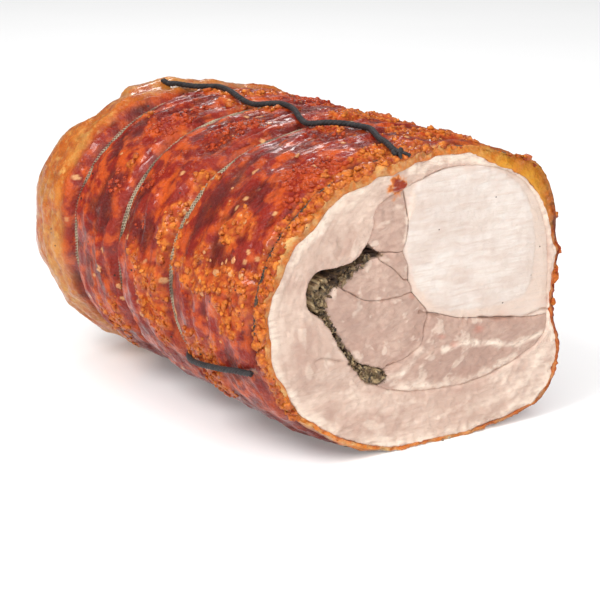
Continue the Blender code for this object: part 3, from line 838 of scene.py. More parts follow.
def herb_band(name, material):
    """The herb filling: a rough band that runs through the roll."""
    outline = evenly(herb_outline(), HERB_OUTLINE_POINTS)
    rows, keys = [], []
    dense = smooth_line(np.array(HERBS)[:, :2], 12)
    near = np.array([dense[np.argmin(np.hypot(*(dense - p).T))] for p in outline])
    for far in (False, True):
        for share in (0.0, 0.2, 0.4, 0.6, 0.8, 0.97):
            flat = outline + (near - outline) * share
            place = flat_place(*flat.T)
            lump, tag = cells(place, 2.0, 81)
            thin = smoothstep(2.6, 1.4, -loop_distance(outline, *near.T))
            void = herb_void(*flat.T)
            depth = 0.4 + 1.8 * rough(place, 2.4, 82) + 1.6 * lump * share + 2.5 * thin + 4 * void
            if far:
                flat_m = flat * END_GATHER * MM
                y = far_face(*flat_m.T)
            else:
                flat_m = flat * MM
                y = cut_face(*flat_m.T) + depth * MM
            rows.append(flat_place(*flat_m.T, y))
            # The clumps vary at random; painted shade: the bright olive is also taken back where the herbs
            # lie deeper.
            clump = np.clip(1.3 * tag * (1 - thin) - 0.25 * np.clip(depth - 1.5, 0, 2), 0, 1)
            keys.append({"clump": clump * (1 - void), "void": void})
        if not far:
            rows, keys = rows[::-1], keys[::-1]
    points, masks = joined(rows, keys)
    faces = tube_faces(len(rows), len(outline), True)
    closed_piece(name, points, faces, masks, material, ["herb_filling"])


# Small things that lie on the rind


def ball(detail):
    """A round body of triangles: its points and its faces."""
    body = bmesh.new()
    bmesh.ops.create_icosphere(body, subdivisions=detail, radius=1.0)
    points = np.array([vert.co for vert in body.verts])
    faces = np.array([[vert.index for vert in face.verts] for face in body.faces])
    body.free()
    return points, faces


def rind_frame(theta, y):
    """Places on the fine rind, and the ways out, round and along there."""
    place = on_rind(theta, y)[0]
    small = 1.5 * MM
    turn = small / rind_radius(theta, y)

    def base(t, v):
        return around_roll(rind_radius(t, v), t, v, lowest(t, v))

    round_way = base(theta + turn, y) - base(theta - turn, y)
    long_way = base(theta, y + small) - base(theta, y - small)
    ways = np.stack([np.cross(long_way, round_way), round_way, long_way])
    ways = ways / np.linalg.norm(ways, axis=2)[..., None]
    ways[0] *= np.sign((ways[0] * place * (1, 0, 1)).sum(1))[:, None]
    return place, ways


def strewn(name, place, ways, sizes, detail, lumpy, seed, masks, material):
    """Many small lumps as one mesh: each has a place, three ways and a size along each."""
    points, faces = ball(detail)
    rng = np.random.default_rng(seed)
    spin = rng.uniform(0, tau, len(place))
    out, round_way, long_way = ways
    first = round_way * np.cos(spin)[:, None] + long_way * np.sin(spin)[:, None]
    second = long_way * np.cos(spin)[:, None] - round_way * np.sin(spin)[:, None]
    shift = rng.uniform(0, 500, (len(place), 1, 3))
    bulge = 1 + lumpy * rough(points[None] * 1.6 + shift, 1.0, seed, 2)
    shape = points[None] * bulge[..., None] * sizes[:, None, :]
    body = place[:, None] + shape[..., :1] * first[:, None] + shape[..., 1:2] * second[:, None]
    body = (body + shape[..., 2:] * out[:, None]).reshape(-1, 3)
    all_faces = (faces[None] + np.arange(len(place))[:, None, None] * len(points)).reshape(-1, 3)
    spread = {key: np.repeat(values, len(points)) for key, values in masks.items()}
    finished(add_mesh(name, body, all_faces, spread), material)


def picked(rng, tries, low_y, high_y, angles, chance):
    """Random places on the rind, kept by a chance that is worked out from their masks."""
    theta = np.radians(rng.uniform(*angles, tries))
    y = rng.uniform(low_y, high_y, tries)
    keep = rng.uniform(0, 1, tries) < chance(theta, y)
    return theta[keep], y[keep]


# Strings


def frames_along(path, closed):
    """At each point of a path: the way out from the roll and the way to the side."""
    ahead = np.roll(path, -1, 0) - np.roll(path, 1, 0)
    if not closed:
        ahead[0], ahead[-1] = path[1] - path[0], path[-1] - path[-2]
    ahead /= np.linalg.norm(ahead, axis=1)[:, None]
    out = path * (1, 0, 1)
    out -= ahead * (out * ahead).sum(1)[:, None]
    out /= np.linalg.norm(out, axis=1)[:, None]
    return out, np.cross(ahead, out)


def strands(path, closed, offsets, radius, sides=6):
    """Tubes along a path: for each, how far it lies to the side and out at each point."""
    out, side = frames_along(path, closed)
    grids, faces, total = [], [], 0
    for across, up in offsets:
        middle = path + side * across[:, None] + out * up[:, None]
        strand_out, strand_side = frames_along(middle, closed)
        turns = [tau * k / sides for k in range(sides)]
        rings = [middle + (strand_out * cos(turn) + strand_side * sin(turn)) * radius for turn in turns]
        grids.append(np.stack(rings, 1).reshape(-1, 3))
        faces.append(tube_faces(len(path), sides, closed) + total)
        if not closed:
            faces += [HEXAGON_HALVES + total + end * sides for end in (0, len(path) - 1)]
        total += len(grids[-1])
    return np.concatenate(grids), np.concatenate(faces)


def braid(path, width):
    """A flat knitted string that closes round: three strands that cross over each other."""
    run = along(path)
    length = run[-1] + np.linalg.norm(path[0] - path[-1])
    phase = run / length * round(length / KNIT_PITCH) * tau
    offsets = []
    for k in range(3):
        at = phase + tau * k / 3
        offsets.append((width / 2 * np.sin(at), STRAND_RADIUS * 0.8 * np.sin(2 * at)))
    return strands(path, True, offsets, STRAND_RADIUS)


def twist(path, radius):
    """A round cord with two ends: three strands laid round each other."""
    phases = [along(path) / CORD_PITCH * tau + tau * k / 3 for k in range(3)]
    middle = radius * 0.36
    offsets = [(middle * np.cos(phase), middle * np.sin(phase)) for phase in phases]
    return strands(path, False, offsets, radius * 0.7)


def resampled(path, step):
    """The same path with its points at even distances."""
    run = along(path)
    marks = np.linspace(0, run[-1], max(4, int(run[-1] / step)))
    return np.stack([np.interp(marks, run, path[:, i]) for i in range(3)], 1)


def cord_path(route, lift):
    """A cord laid over the fine rind and the ties, through the places of its route."""
    angle, y = smooth_line(route, 24).T
    theta = np.radians(angle)
    heights = []
    for dy in np.linspace(-2, 2, 5) * MM:
        points = on_rind(theta, y + dy)[0]
        heights.append(np.hypot(points[:, 0], points[:, 2]))
    height = np.max(heights, 0) + lift
    for k in range(len(TIE_Y)):
        line = tie_line(k, theta)
        over = rind_radius(theta, line) + 5.0 * MM
        height = np.maximum(height, over - 20 * np.abs(y - line) ** 1.5)
    for pick, reach_each_way in ((np.max, 7), (np.mean, 9), (np.mean, 9)):
        padded = np.pad(height, reach_each_way, mode="edge")
        height = pick([padded[i : i + len(height)] for i in range(2 * reach_each_way + 1)], 0)
    points = on_rind(theta, y)[0]
    run = along(y[:, None])
    lying = smoothstep(12 * MM, 0, np.minimum(run, run[-1] - run))
    lying[-len(y) // 3 :] = 0
    height = height + lying * (np.hypot(points[:, 0], points[:, 2]) + 0.5 * lift - height)
    return around_roll(height, theta, y)


# Materials


class Nodes:
    """A short way to write a node tree: each call adds a node and gives its first output."""

    def __init__(self, tree):
        self.tree = tree

    def add(self, kind, out=0, settings=None, **values):
        node = self.tree.nodes.new(kind)
        for key, value in (settings or {}).items():
            setattr(node, key, value)
        for key, value in values.items():
            numbered = key[0] == "i" and key[1:].isdigit()
            self.feed(node.inputs[int(key[1:]) if numbered else key.replace("_", " ")], value)
        return node.outputs[out]

    def feed(self, target, value):
        if isinstance(value, bpy.types.NodeSocket):
            self.tree.links.new(value, target)
        elif isinstance(value, tuple) and len(value) == 3 and target.type == "RGBA":
            target.default_value = (*value, 1)
        else:
            target.default_value = value

    def fill(self, shader, **values):
        for key, value in values.items():
            self.feed(shader[key.replace("_", " ")], value)

    def mask(self, name):
        return self.add("ShaderNodeAttribute", out=2, settings={"attribute_name": name})

    def place(self):
        return self.add("ShaderNodeTexCoord", out=3)

    def noise(self, scale, detail=3.0, vector=None, roughness=0.55):
        vector = vector or self.place()
        return self.add("ShaderNodeTexNoise", Vector=vector, Scale=scale, Detail=detail, Roughness=roughness)

    def stretch(self, scale):
        return self.add("ShaderNodeVectorMath", settings={"operation": "MULTIPLY"}, i0=self.place(), i1=scale)

    def math(self, operation, a, b):
        return self.add("ShaderNodeMath", settings={"operation": operation}, i0=a, i1=b)

    def between(self, value, low, high, to_low=0.0, to_high=1.0):
        return self.add("ShaderNodeMapRange", i0=value, i1=low, i2=high, i3=to_low, i4=to_high)

    def mix(self, factor, a, b):
        settings = {"data_type": "RGBA", "clamp_factor": True}
        return self.add("ShaderNodeMix", out=2, settings=settings, i0=factor, i6=a, i7=b)

    def tint(self, tone, name, low, high, most, colour):
        """The tone with a colour over it where the mask of that name is strong."""
        return self.mix(self.between(self.mask(name), low, high, 0.0, most), tone, colour)

    def patch(self, tone, scale, detail, low, high, most, colour):
        """The tone with a colour over it in patches."""
        return self.mix(self.between(self.noise(scale, detail), low, high, 0.0, most), tone, colour)

    def bump(self, height, strength, distance):
        return self.add("ShaderNodeBump", Height=height, Strength=strength, Distance=distance)

    def group(self, name, **values):
        return self.add("ShaderNodeGroup", settings={"node_tree": GROUPS[name]()}, **values)


def new_group(name, inputs, outputs):
    """A node group with named sockets, and the nodes of its two ends."""
    tree = bpy.data.node_groups.new(name, "ShaderNodeTree")
    for label, kind, default in inputs:
        made = tree.interface.new_socket(name=label, in_out="INPUT", socket_type=kind)
        made.default_value = default
    for label, kind in outputs:
        tree.interface.new_socket(name=label, in_out="OUTPUT", socket_type=kind)
    start, end = tree.nodes.new("NodeGroupInput"), tree.nodes.new("NodeGroupOutput")
    return tree, Nodes(tree), start.outputs, end.inputs


def speck_group():
    """Small dark specks of pepper and char."""
    inputs = [
        ("Scale", "NodeSocketFloat", 300.0),
        ("Size", "NodeSocketFloat", 0.12),
        ("Share", "NodeSocketFloat", 0.1),
    ]
    tree, n, start, end = new_group("Specks", inputs, [("Mask", "NodeSocketFloat")])
    cell = tree.nodes.new("ShaderNodeTexVoronoi")
    n.feed(cell.inputs["Vector"], n.place())
    n.feed(cell.inputs["Scale"], start["Scale"])
    near = n.math("LESS_THAN", cell.outputs["Distance"], start["Size"])
    red = n.add("ShaderNodeSeparateColor", Color=cell.outputs["Color"])
    chosen = n.math("LESS_THAN", red, start["Share"])
    tree.links.new(n.math("MULTIPLY", near, chosen), end["Mask"])
    return tree


def mottle_group():
    """A patchy mix of two colours, as fat and juices leave."""
    inputs = [
        ("First", "NodeSocketColor", (0.5, 0.5, 0.5, 1)),
        ("Second", "NodeSocketColor", (0.5, 0.5, 0.5, 1)),
        ("Scale", "NodeSocketFloat", 100.0),
        ("Low", "NodeSocketFloat", 0.35),
        ("High", "NodeSocketFloat", 0.65),
    ]
    tree, n, start, end = new_group("Mottle", inputs, [("Color", "NodeSocketColor")])
    share = n.between(n.noise(start["Scale"], 5.0), start["Low"], start["High"])
    tree.links.new(n.mix(share, start["First"], start["Second"]), end["Color"])
    return tree


def built_once(name, build):
    """A way to get the node group of that name, which is built when it is first asked for."""
    return lambda: bpy.data.node_groups.get(name) or build()


GROUPS = {"specks": built_once("Specks", speck_group), "mottle": built_once("Mottle", mottle_group)}


def new_material(name):
    """A material, its nodes and the inputs of its shader."""
    material = bpy.data.materials.new(name)
    material.use_nodes = True
    tree = material.node_tree
    return material, Nodes(tree), tree.nodes["Principled BSDF"].inputs


def crackling_material(look):
    """Roasted rind: dark red-brown, golden where it has blistered, glossy with fat, with a painted sheen on
    the fold tops and painted shade in its hollows.
    """
    material, n, shader = new_material("Crackling")

    def mottled(first, second, scale, low, high):
        return n.group("mottle", First=first[:], Second=second[:], Scale=scale, Low=low, High=high)

    tone = mottled(look.rind_dark, look.rind_red, 80.0, 0.30, 0.46)
    tone = n.patch(tone, 130.0, 5.0, 0.47, 0.6, 0.9, look.rind_orange[:])
    brown = mottled(look.crust_brown, look.rind_orange, 170.0, 0.4, 0.65)
    tone = n.mix(n.math("MULTIPLY", n.mask("crust"), 0.6), tone, brown)
    gold = mottled(look.rind_orange, look.crust_gold, 260.0, 0.36, 0.56)
    tone = n.mix(n.mask("gold"), tone, gold)
    # Painted sheen: the fold tops are tinted mauve-pink as a reflection of the light.
    tone = n.tint(tone, "fold", 0.5, 1.3, 0.35, look.rind_mauve[:])
    tone = n.tint(tone, "bubble", 0.25, 0.9, 0.8, look.bubble_orange[:])
    # Painted shade: the dark rind colour over the deep mask, in low places of the relief and on the lower
    # left side.
    tone = n.mix(n.math("MULTIPLY", n.mask("deep"), 0.8), tone, look.rind_dark[:])
    loose = mottled(look.crust_brown, look.crust_gold, 330.0, 0.36, 0.6)
    tone = n.mix(n.math("MULTIPLY", n.mask("loose"), n.mask("crust")), tone, loose)
    end_tone = mottled(look.end_orange, look.end_tan, 42.0, 0.4, 0.6)
    end_tone = n.patch(end_tone, 230.0, 4.0, 0.5, 0.72, 0.8, look.end_pale[:])
    end_tone = n.patch(end_tone, 120.0, 5.0, 0.5, 0.3, 0.75, look.crust_brown[:])
    tone = n.mix(n.mask("end"), tone, end_tone)
    tone = n.mix(n.mask("rim"), tone, mottled(look.crust_gold, look.rim_cream, 180.0, 0.42, 0.62))
    tone = n.mix(n.mask("rim_gold"), tone, mottled(look.crust_gold, look.fat_yellow, 90.0, 0.35, 0.55))
    tone = n.mix(n.mask("rim_dark"), tone, mottled(look.rind_dark, look.crust_brown, 120.0, 0.4, 0.6))
    tone = n.mix(n.mask("flake"), tone, look.flake_cream[:])
    # Painted shade: patches of the char colour in the grooves beside the ties and in low places.
    hollow = n.math("MULTIPLY", n.mask("hollow"), n.between(n.noise(120.0), 0.4, 0.7, 0.0, 0.7))
    tone = n.mix(hollow, tone, look.char[:])
    tone = n.mix(n.math("MULTIPLY", n.mask("under"), 0.7), tone, look.underside[:])
    tone = n.mix(n.group("specks", Scale=260.0, Size=0.16, Share=0.06), tone, look.char[:])
    rough_skin = n.between(n.mask("crust"), 0.0, 1.0, 0.38, 0.55)
    wrinkles = n.noise(420.0, 4.0, roughness=0.6)
    pores = n.add("ShaderNodeTexVoronoi", Vector=n.place(), Scale=620.0)
    height = n.math("ADD", wrinkles, n.math("MULTIPLY", pores, 0.35))
    n.fill(
        shader,
        Base_Color=tone,
        Roughness=n.math("ADD", rough_skin, n.between(n.noise(90.0), 0.3, 0.7, -0.06, 0.1)),
        Coat_Weight=n.between(n.noise(70.0), 0.4, 0.65, 0.0, 0.7),
        Coat_Roughness=0.07,
        Coat_IOR=1.4,
        Subsurface_Weight=0.06,
        Subsurface_Radius=(0.004, 0.0012, 0.0005),
        Specular_IOR_Level=0.22,
        Normal=n.bump(height, 0.85, 0.0011),
    )
    return material


# Over the meat, one after the other: mask, where it starts and ends, how strong, and the colour
MEAT_TINTS = [
    ("lean", 0.0, 1.0, 0.75, "meat_lean"),
    ("edge", 0.2, 1.0, 0.5, "meat_seam"),
    ("fat", 0.1, 0.9, 0.9, "meat_fat"),
    ("blush", 0.2, 1.0, 0.5, "meat_blush"),
    ("shade", -0.2, 0.9, 0.6, "meat_lean"),
    ("marble", 0.2, 0.9, 0.4, "meat_fat"),
    ("ring", 0.0, 1.0, 0.7, "belly"),
    ("crack", 0.4, 1.0, 0.45, "crack_brown"),
    ("stain", 0.3, 1.0, 0.7, "herb_brown"),
]


def meat_material(name, look, base, grain, fibre):
    """Cooked pork: pale, with grain, cream fat, pinker lean, stains of herb and a browned far end."""
    material, n, shader = new_material(name)
    tone = n.group("mottle", First=base, Second=grain, Scale=46.0, Low=0.42, High=0.72)
    tone = n.tint(tone, "grain", 0.1, -0.6, 0.65, grain)
    for mask, low, high, most, colour in MEAT_TINTS:
        tone = n.tint(tone, mask, low, high, most, getattr(look, colour)[:])
    spot = n.group("mottle", First=look.rind_red[:], Second=look.crust_brown[:], Scale=300.0)
    tone = n.tint(tone, "spot", 0.0, 0.6, 1.0, look.crust_gold[:])
    tone = n.tint(tone, "spot", 0.5, 1.0, 1.0, spot)
    tone = n.mix(n.group("specks", Scale=170.0, Size=0.07, Share=0.07), tone, look.char[:])
    fine = n.noise(520.0, 3.0, n.stretch(fibre))
    tone = n.mix(n.between(fine, 0.5, 0.68, 0.0, 0.6), tone, grain)
    roasted = n.group("mottle", First=look.roast_brown[:], Second=look.end_tan[:], Scale=60.0)
    tone = n.mix(n.mask("far"), tone, roasted)
    height = n.math("ADD", fine, n.math("MULTIPLY", n.noise(900.0, 2.0), 0.5))
    n.fill(
        shader,
        Base_Color=tone,
        Roughness=n.between(n.noise(140.0), 0.3, 0.7, 0.42, 0.62),
        Subsurface_Weight=0.12,
        Subsurface_Radius=(0.0035, 0.002, 0.0013),
        Specular_IOR_Level=0.4,
        Normal=n.bump(height, 0.6, 0.0006),
    )
    return material


def herb_material(look):
    """Chopped herbs: olive clumps with dark gaps between them, and painted shade in the hollows where they
    have fallen out.
    """
    material, n, shader = new_material("Herbs")
    dark, brown = look.herb_black[:], look.herb_brown[:]
    tone = n.group("mottle", First=dark, Second=brown, Scale=420.0, Low=0.4, High=0.6)
    tone = n.tint(tone, "clump", 0.35, 1.0, 0.9, look.herb_olive[:])
    # Painted shade: the char colour fills the hollows where the herbs have fallen out.
    tone = n.mix(n.mask("void"), tone, look.char[:])
    n.fill(
        shader,
        Base_Color=tone,
        Roughness=n.between(n.noise(300.0), 0.3, 0.7, 0.45, 0.75),
        Normal=n.bump(n.noise(900.0, 4.0), 0.7, 0.0008),
    )
    return material


def string_material(name, light, dark, scale):
    """Cotton string, scorched in patches."""
    material, n, shader = new_material(name)
    tone = n.group("mottle", First=dark, Second=light, Scale=scale, Low=0.36, High=0.58)
    fibres = n.noise(3000.0, 2.0, n.stretch((1.0, 0.4, 1.0)))
    n.fill(
        shader,
        Base_Color=n.mix(n.between(fibres, 0.3, 0.7, 0.0, 0.5), tone, dark),
        Roughness=n.between(fibres, 0.3, 0.7, 0.6, 0.9),
        Sheen_Weight=0.04,
        Normal=n.bump(fibres, 0.6, 0.0003),
    )
    return material


# Add-on classes


def colour_property(name, description, default):
    """A colour that a user can change."""
    return FloatVectorProperty(
        name=name, description=description, subtype="COLOR", size=3, min=0, max=1, default=default
    )


class RollSizes(bpy.types.PropertyGroup):
    """Sizes that can be changed"""

    skin_spacing: FloatProperty(
        name="Skin spacing",
        description="Distance between the skin's mesh points, in millimetres",
        default=0.75,
        min=0.4,
    )
    cut_spacing: FloatProperty(
        name="Cut spacing",
        description="Distance between the cut meat's mesh points, in millimetres",
        default=0.6,
        min=0.3,
    )
    knit_width: FloatProperty(
        name="Tie width", description="Width of the knitted ties", default=0.0042, unit="LENGTH"
    )
    cord_radius: FloatProperty(
        name="Cord radius", description="Radius of the twisted cords", default=0.0015, unit="LENGTH"
    )


class RollLook(bpy.types.PropertyGroup):
    """Colours that can be changed"""

    # The dark rind colour is also the painted shade over the deep mask.
    rind_dark: colour_property("Dark rind", "The darkest skin", (0.10, 0.006, 0.004))
    rind_red: colour_property("Red rind", "Skin between the folds", (0.225, 0.012, 0.004))
    rind_orange: colour_property("Orange rind", "Thin skin over fat", (0.50, 0.072, 0.006))
    # A painted sheen: the mauve-pink reflection on the tops of the folds.
    rind_mauve: colour_property("Fold tops", "The shining tops of folds", (0.26, 0.034, 0.018))
    crust_brown: colour_property("Brown crust", "Dark blistered crust", (0.27, 0.034, 0.004))
    crust_gold: colour_property("Golden crust", "Bright blistered crust", (0.62, 0.19, 0.022))
    bubble_orange: colour_property("Bubbles", "Small bubbles in the skin", (0.38, 0.046, 0.008))
    end_orange: colour_property("End, orange", "Skin of the roasted end", (0.44, 0.105, 0.010))
    end_tan: colour_property("End, tan", "Pale skin of the roasted end", (0.50, 0.20, 0.036))
    end_pale: colour_property("End, pale", "Pale scales of the roasted end", (0.62, 0.33, 0.09))
    fat_yellow: colour_property("Yellow fat", "Glossy fat under the lifted rind", (0.64, 0.29, 0.02))
    flake_cream: colour_property("Flakes", "Pale flakes on the rind", (0.56, 0.27, 0.11))
    rim_cream: colour_property("Rim", "The rind's cut edge", (0.64, 0.38, 0.14))
    # The char colour is real char on the specks and the burnt string, and painted shade in the hollows of the
    # rind and the herbs.
    char: colour_property("Char", "Burnt specks and hollows", (0.03, 0.010, 0.006))
    underside: colour_property("Underside", "Pale, damp underside", (0.50, 0.42, 0.32))
    loin: colour_property("Loin", "The pale loin", (0.69, 0.62, 0.565))
    loin_shade: colour_property("Loin grain", "Grain of the loin", (0.60, 0.49, 0.425))
    belly: colour_property("Belly", "Belly meat", (0.64, 0.49, 0.40))
    belly_shade: colour_property("Belly grain", "Grain of the belly", (0.50, 0.35, 0.28))
    core: colour_property("Core", "Meat in the middle of the roll", (0.50, 0.345, 0.275))
    core_shade: colour_property("Core grain", "Grain of the core", (0.37, 0.235, 0.185))
    meat_lean: colour_property("Lean", "Lean strips", (0.40, 0.245, 0.19))
    meat_seam: colour_property("Seams", "Edges of the muscles", (0.62, 0.42, 0.34))
    meat_fat: colour_property("Fat", "Fat in the meat", (0.76, 0.63, 0.52))
    meat_blush: colour_property("Blush", "Reddish spots", (0.50, 0.17, 0.12))
    crack_brown: colour_property("Cracks", "Deep seams", (0.34, 0.20, 0.14))
    roast_brown: colour_property("Roasted end meat", "Browned meat of the far end", (0.28, 0.10, 0.04))
    herb_brown: colour_property("Herb brown", "Herb filling", (0.20, 0.12, 0.055))
    herb_black: colour_property("Herb dark", "Shaded herbs", (0.03, 0.018, 0.010))
    herb_olive: colour_property("Herb olive", "Bright herbs", (0.40, 0.29, 0.15))
    knit_light: colour_property("Ties, light", "Clean knitted string", (0.46, 0.36, 0.24))
    knit_dark: colour_property("Ties, scorched", "Scorched knitted string", (0.13, 0.085, 0.055))
    cord_light: colour_property("Cord, light", "Light fibres of the cord", (0.030, 0.025, 0.026))
    cord_dark: colour_property("Cord, dark", "Dark fibres of the cord", (0.008, 0.006, 0.007))


class PORCHETTA_OT_stage(bpy.types.Operator):
    """Camera, lights and the floor"""

    bl_idname = "porchetta.stage"
    bl_label = "Stage"

    camera_place = Vector((-0.6146, -0.9460, 0.3793))
    camera_turn = radians(-33.54)
    camera_fall = radians(16.48)
    lens_mm = 132.0
    sensor_mm = 36.0
    light_aim = Vector((0, 0, 0.07))
    floor_half = 6.0

    def execute(self, context):
        scene = context.scene
        camera = bpy.data.objects.new("camera", bpy.data.cameras.new("camera"))
        camera.location = self.camera_place
        turn, fall = self.camera_turn, self.camera_fall
        ahead = Vector((-sin(turn) * cos(fall), cos(turn) * cos(fall), -sin(fall)))
        camera.rotation_euler = ahead.to_track_quat("-Z", "Y").to_euler()
        camera.data.lens = self.lens_mm
        camera.data.sensor_width = self.sensor_mm
        camera.data.clip_start = 0.01
        scene.collection.objects.link(camera)
        scene.camera = camera
        self.add_light("window", "AREA", (-1.1, -0.3, 1.2), 17, shape="DISK", size=0.7)
        self.add_light("front", "AREA", (-0.2, -1.5, 0.9), 7, shape="DISK", size=0.8)
        self.add_light("back", "AREA", (0.5, 1.0, 0.9), 3, shape="DISK", size=0.35)
        self.add_light("sky", "SUN", (-0.5, -0.9, 1.47), 1.5, angle=radians(70))
        world = bpy.data.worlds.new("studio")
        world.use_nodes = True
        scene.world = world
        n = Nodes(world.node_tree)
        seen = n.add("ShaderNodeLightPath")
        glossy = n.add("ShaderNodeLightPath", out=3)
        mirrored = n.between(glossy, 0.0, 1.0, 0.5, 0.22)
        background = world.node_tree.nodes["Background"].inputs
        n.fill(background, Color=(1, 1, 1), Strength=n.math("MAXIMUM", mirrored, seen))
        scene.view_settings.view_transform = "Standard"
        scene.view_settings.look = "None"
        self.add_floor(scene)
        return {"FINISHED"}

    def add_light(self, name, kind, place, power, **settings):
        light = bpy.data.lights.new(name, kind)
        light.energy = power
        for key, value in settings.items():
            setattr(light, key, value)
        obj = bpy.data.objects.new(name, light)
        obj.location = place
        obj.rotation_euler = (self.light_aim - Vector(place)).to_track_quat("-Z", "Y").to_euler()
        bpy.context.scene.collection.objects.link(obj)

    def add_floor(self, scene):
        mesh = bpy.data.meshes.new("floor")
        half = self.floor_half
        corners = [(-half, -half, 0), (half, -half, 0), (half, half, 0), (-half, half, 0)]
        mesh.from_pydata(corners, [], [(0, 1, 2, 3)])
        floor = bpy.data.objects.new("floor", mesh)
        scene.collection.objects.link(floor)
        material, n, shader = new_material("Floor")
        n.fill(
            shader,
            Base_Color=(0.97, 0.97, 0.97),
            Emission_Color=(1, 1, 1),
            Emission_Strength=0.16,
            Roughness=n.between(n.noise(3.0), 0.3, 0.7, 0.13, 0.17),
            Specular_IOR_Level=0.6,
        )
        mesh.materials.append(material)


class PORCHETTA_OT_rind(bpy.types.Operator):
    """The rind, in one piece for each bay between the ties"""

    bl_idname = "porchetta.rind"
    bl_label = "Rind"

    def execute(self, context):
        material = crackling_material(context.scene.porchetta_look)
        spacing = context.scene.porchetta_sizes.skin_spacing

        def ragged_rim(theta):
            return CUT_Y + 0.6 * MM * np.sin(11 * theta)

        lines = [ragged_rim] + [lambda theta, k=k: tie_line(k, theta) for k in range(1, len(TIE_Y))]
        for k, (start, end) in enumerate(zip(lines, lines[1:] + [shoulder_line])):
            rind_bay(f"rind_{k + 1}", start, end, material, spacing, first=k == 0, last=k == 3)
        return {"FINISHED"}


class PORCHETTA_OT_meat(bpy.types.Operator):
    """The belly, the loin, the core and the small muscles"""

    bl_idname = "porchetta.meat"
    bl_label = "Meat"

    def execute(self, context):
        look, spacing = context.scene.porchetta_look, context.scene.porchetta_sizes.cut_spacing
        kinds = {
            kind: meat_material(name, look, base[:], grain[:], fibre)
            for kind, name, base, grain, fibre in (
                ("loin_meat", "Loin meat", look.loin, look.loin_shade, (0.1, 1.0, 1.7)),
                ("core_meat", "Core meat", look.core, look.core_shade, (0.5, 1.0, 0.8)),
                ("belly_meat", "Belly meat", look.belly, look.belly_shade, (0.25, 1.0, 1.0)),
            )
        }
        bore_loop, herb_loop = smooth_loop(BORE), herb_outline()
        loops = {name: smooth_loop(outline) for name, (outline, centre, kind) in MUSCLES.items()}
        gap = 0.06

        def from_herbs(x, z):
            return loop_distance(herb_loop, x, z) + 0.55 * rough(flat_place(x, z), 3.4, 98, 2)

        def in_bore(x, z, clear):
            return (loop_distance(bore_loop, x, z) < -clear) | (from_herbs(x, z) < 0.3 - clear)

        bore = reach((0.0, 0.0), lambda x, z: in_bore(x, z, 0), int(BORE_GIRTH_MM / spacing))
        belly_ring("belly", bore, kinds["belly_meat"], spacing)
        for name, (outline, centre, kind) in MUSCLES.items():

            def inside(x, z):
                own = loop_distance(loops[name], x, z)
                others = np.min([loop_distance(loop, x, z) for key, loop in loops.items() if key != name], 0)
                return (own - others < -gap) & (from_herbs(x, z) > 0.2) & in_bore(x, z, gap)

            seen = reach(centre, inside, OUTLINE_RAYS)
            length = np.hypot(*(seen - np.roll(seen, 1, 0)).T).sum()
            muscle(name, evenly(seen, round(length / spacing)), centre, kind, kinds[kind], spacing)
        return {"FINISHED"}


class PORCHETTA_OT_herbs(bpy.types.Operator):
    """The herb filling"""

    bl_idname = "porchetta.herbs"
    bl_label = "Herbs"

    def execute(self, context):
        material = herb_material(context.scene.porchetta_look)
        herb_band("herbs", material)
        rng = np.random.default_rng(9)
        middle = smooth_line(HERBS, 12)
        x, z, half = middle[rng.integers(0, len(middle), HERB_BITS)].T
        x = x + (half + 0.5) * rng.normal(0, 0.45, HERB_BITS)
        z = z + (half + 0.5) * rng.normal(0, 0.45, HERB_BITS)
        keep = herb_void(x, z) < 0.3
        x, z = x[keep], z[keep]
        y = cut_face(x * MM, z * MM) + rng.uniform(-0.3, 1.6, len(x)) * MM
        place = flat_place(x * MM, z * MM, y)
        tilt = rng.normal(0, 0.5, (3, len(x), 3)) + np.array([[[0, -1, 0]], [[1, 0, 0]], [[0, 0, 1]]])
        ways = tilt / np.linalg.norm(tilt, axis=2)[..., None]
        size = rng.uniform(0.35, 1.1, len(x))
        sizes = np.stack([size * rng.uniform(0.8, 1.8, len(x)), size * 0.7, size * 0.45], -1) * MM
        masks = {"clump": rng.uniform(0, 1, len(x)) ** 1.5}
        strewn("herb_bits", place, ways, sizes, 1, 0.5, 6, masks, material)
        return {"FINISHED"}


class PORCHETTA_OT_strings(bpy.types.Operator):
    """The knitted ties and the twisted cords"""

    bl_idname = "porchetta.strings"
    bl_label = "Strings"

    def execute(self, context):
        look, sizes = context.scene.porchetta_look, context.scene.porchetta_sizes
        knit = string_material("Tie string", look.knit_light[:], look.knit_dark[:], 90.0)
        burnt = string_material("Burnt tie string", look.knit_dark[:], look.char[:], 140.0)
        dark = string_material("Dark cord", look.cord_light[:], look.cord_dark[:], 300.0)
        theta = np.arange(TIE_POINTS) * tau / TIE_POINTS
        for k, share in enumerate(TIE_WIDTHS):
            path = on_rind(theta, tie_line(k, theta), TIE_LIFT)[0]
            path[:, 2] = np.maximum(path[:, 2], TIE_LIFT - CENTRE[2])
            points, faces = braid(path, share * sizes.knit_width)
            stuff = knit if k else burnt
            closed_piece(f"knit_{k + 1}", points, faces, {}, stuff, [f"tie_{k + 1}"])
        for name, node, route in (("cord_top", "top_cord", TOP_CORD), ("cord_side", "side_cord", SIDE_CORD)):
            path = resampled(cord_path(route, sizes.cord_radius), CORD_STEP)
            points, faces = twist(path, sizes.cord_radius)
            closed_piece(name, points, faces, {}, dark, [node])
        return {"FINISHED"}


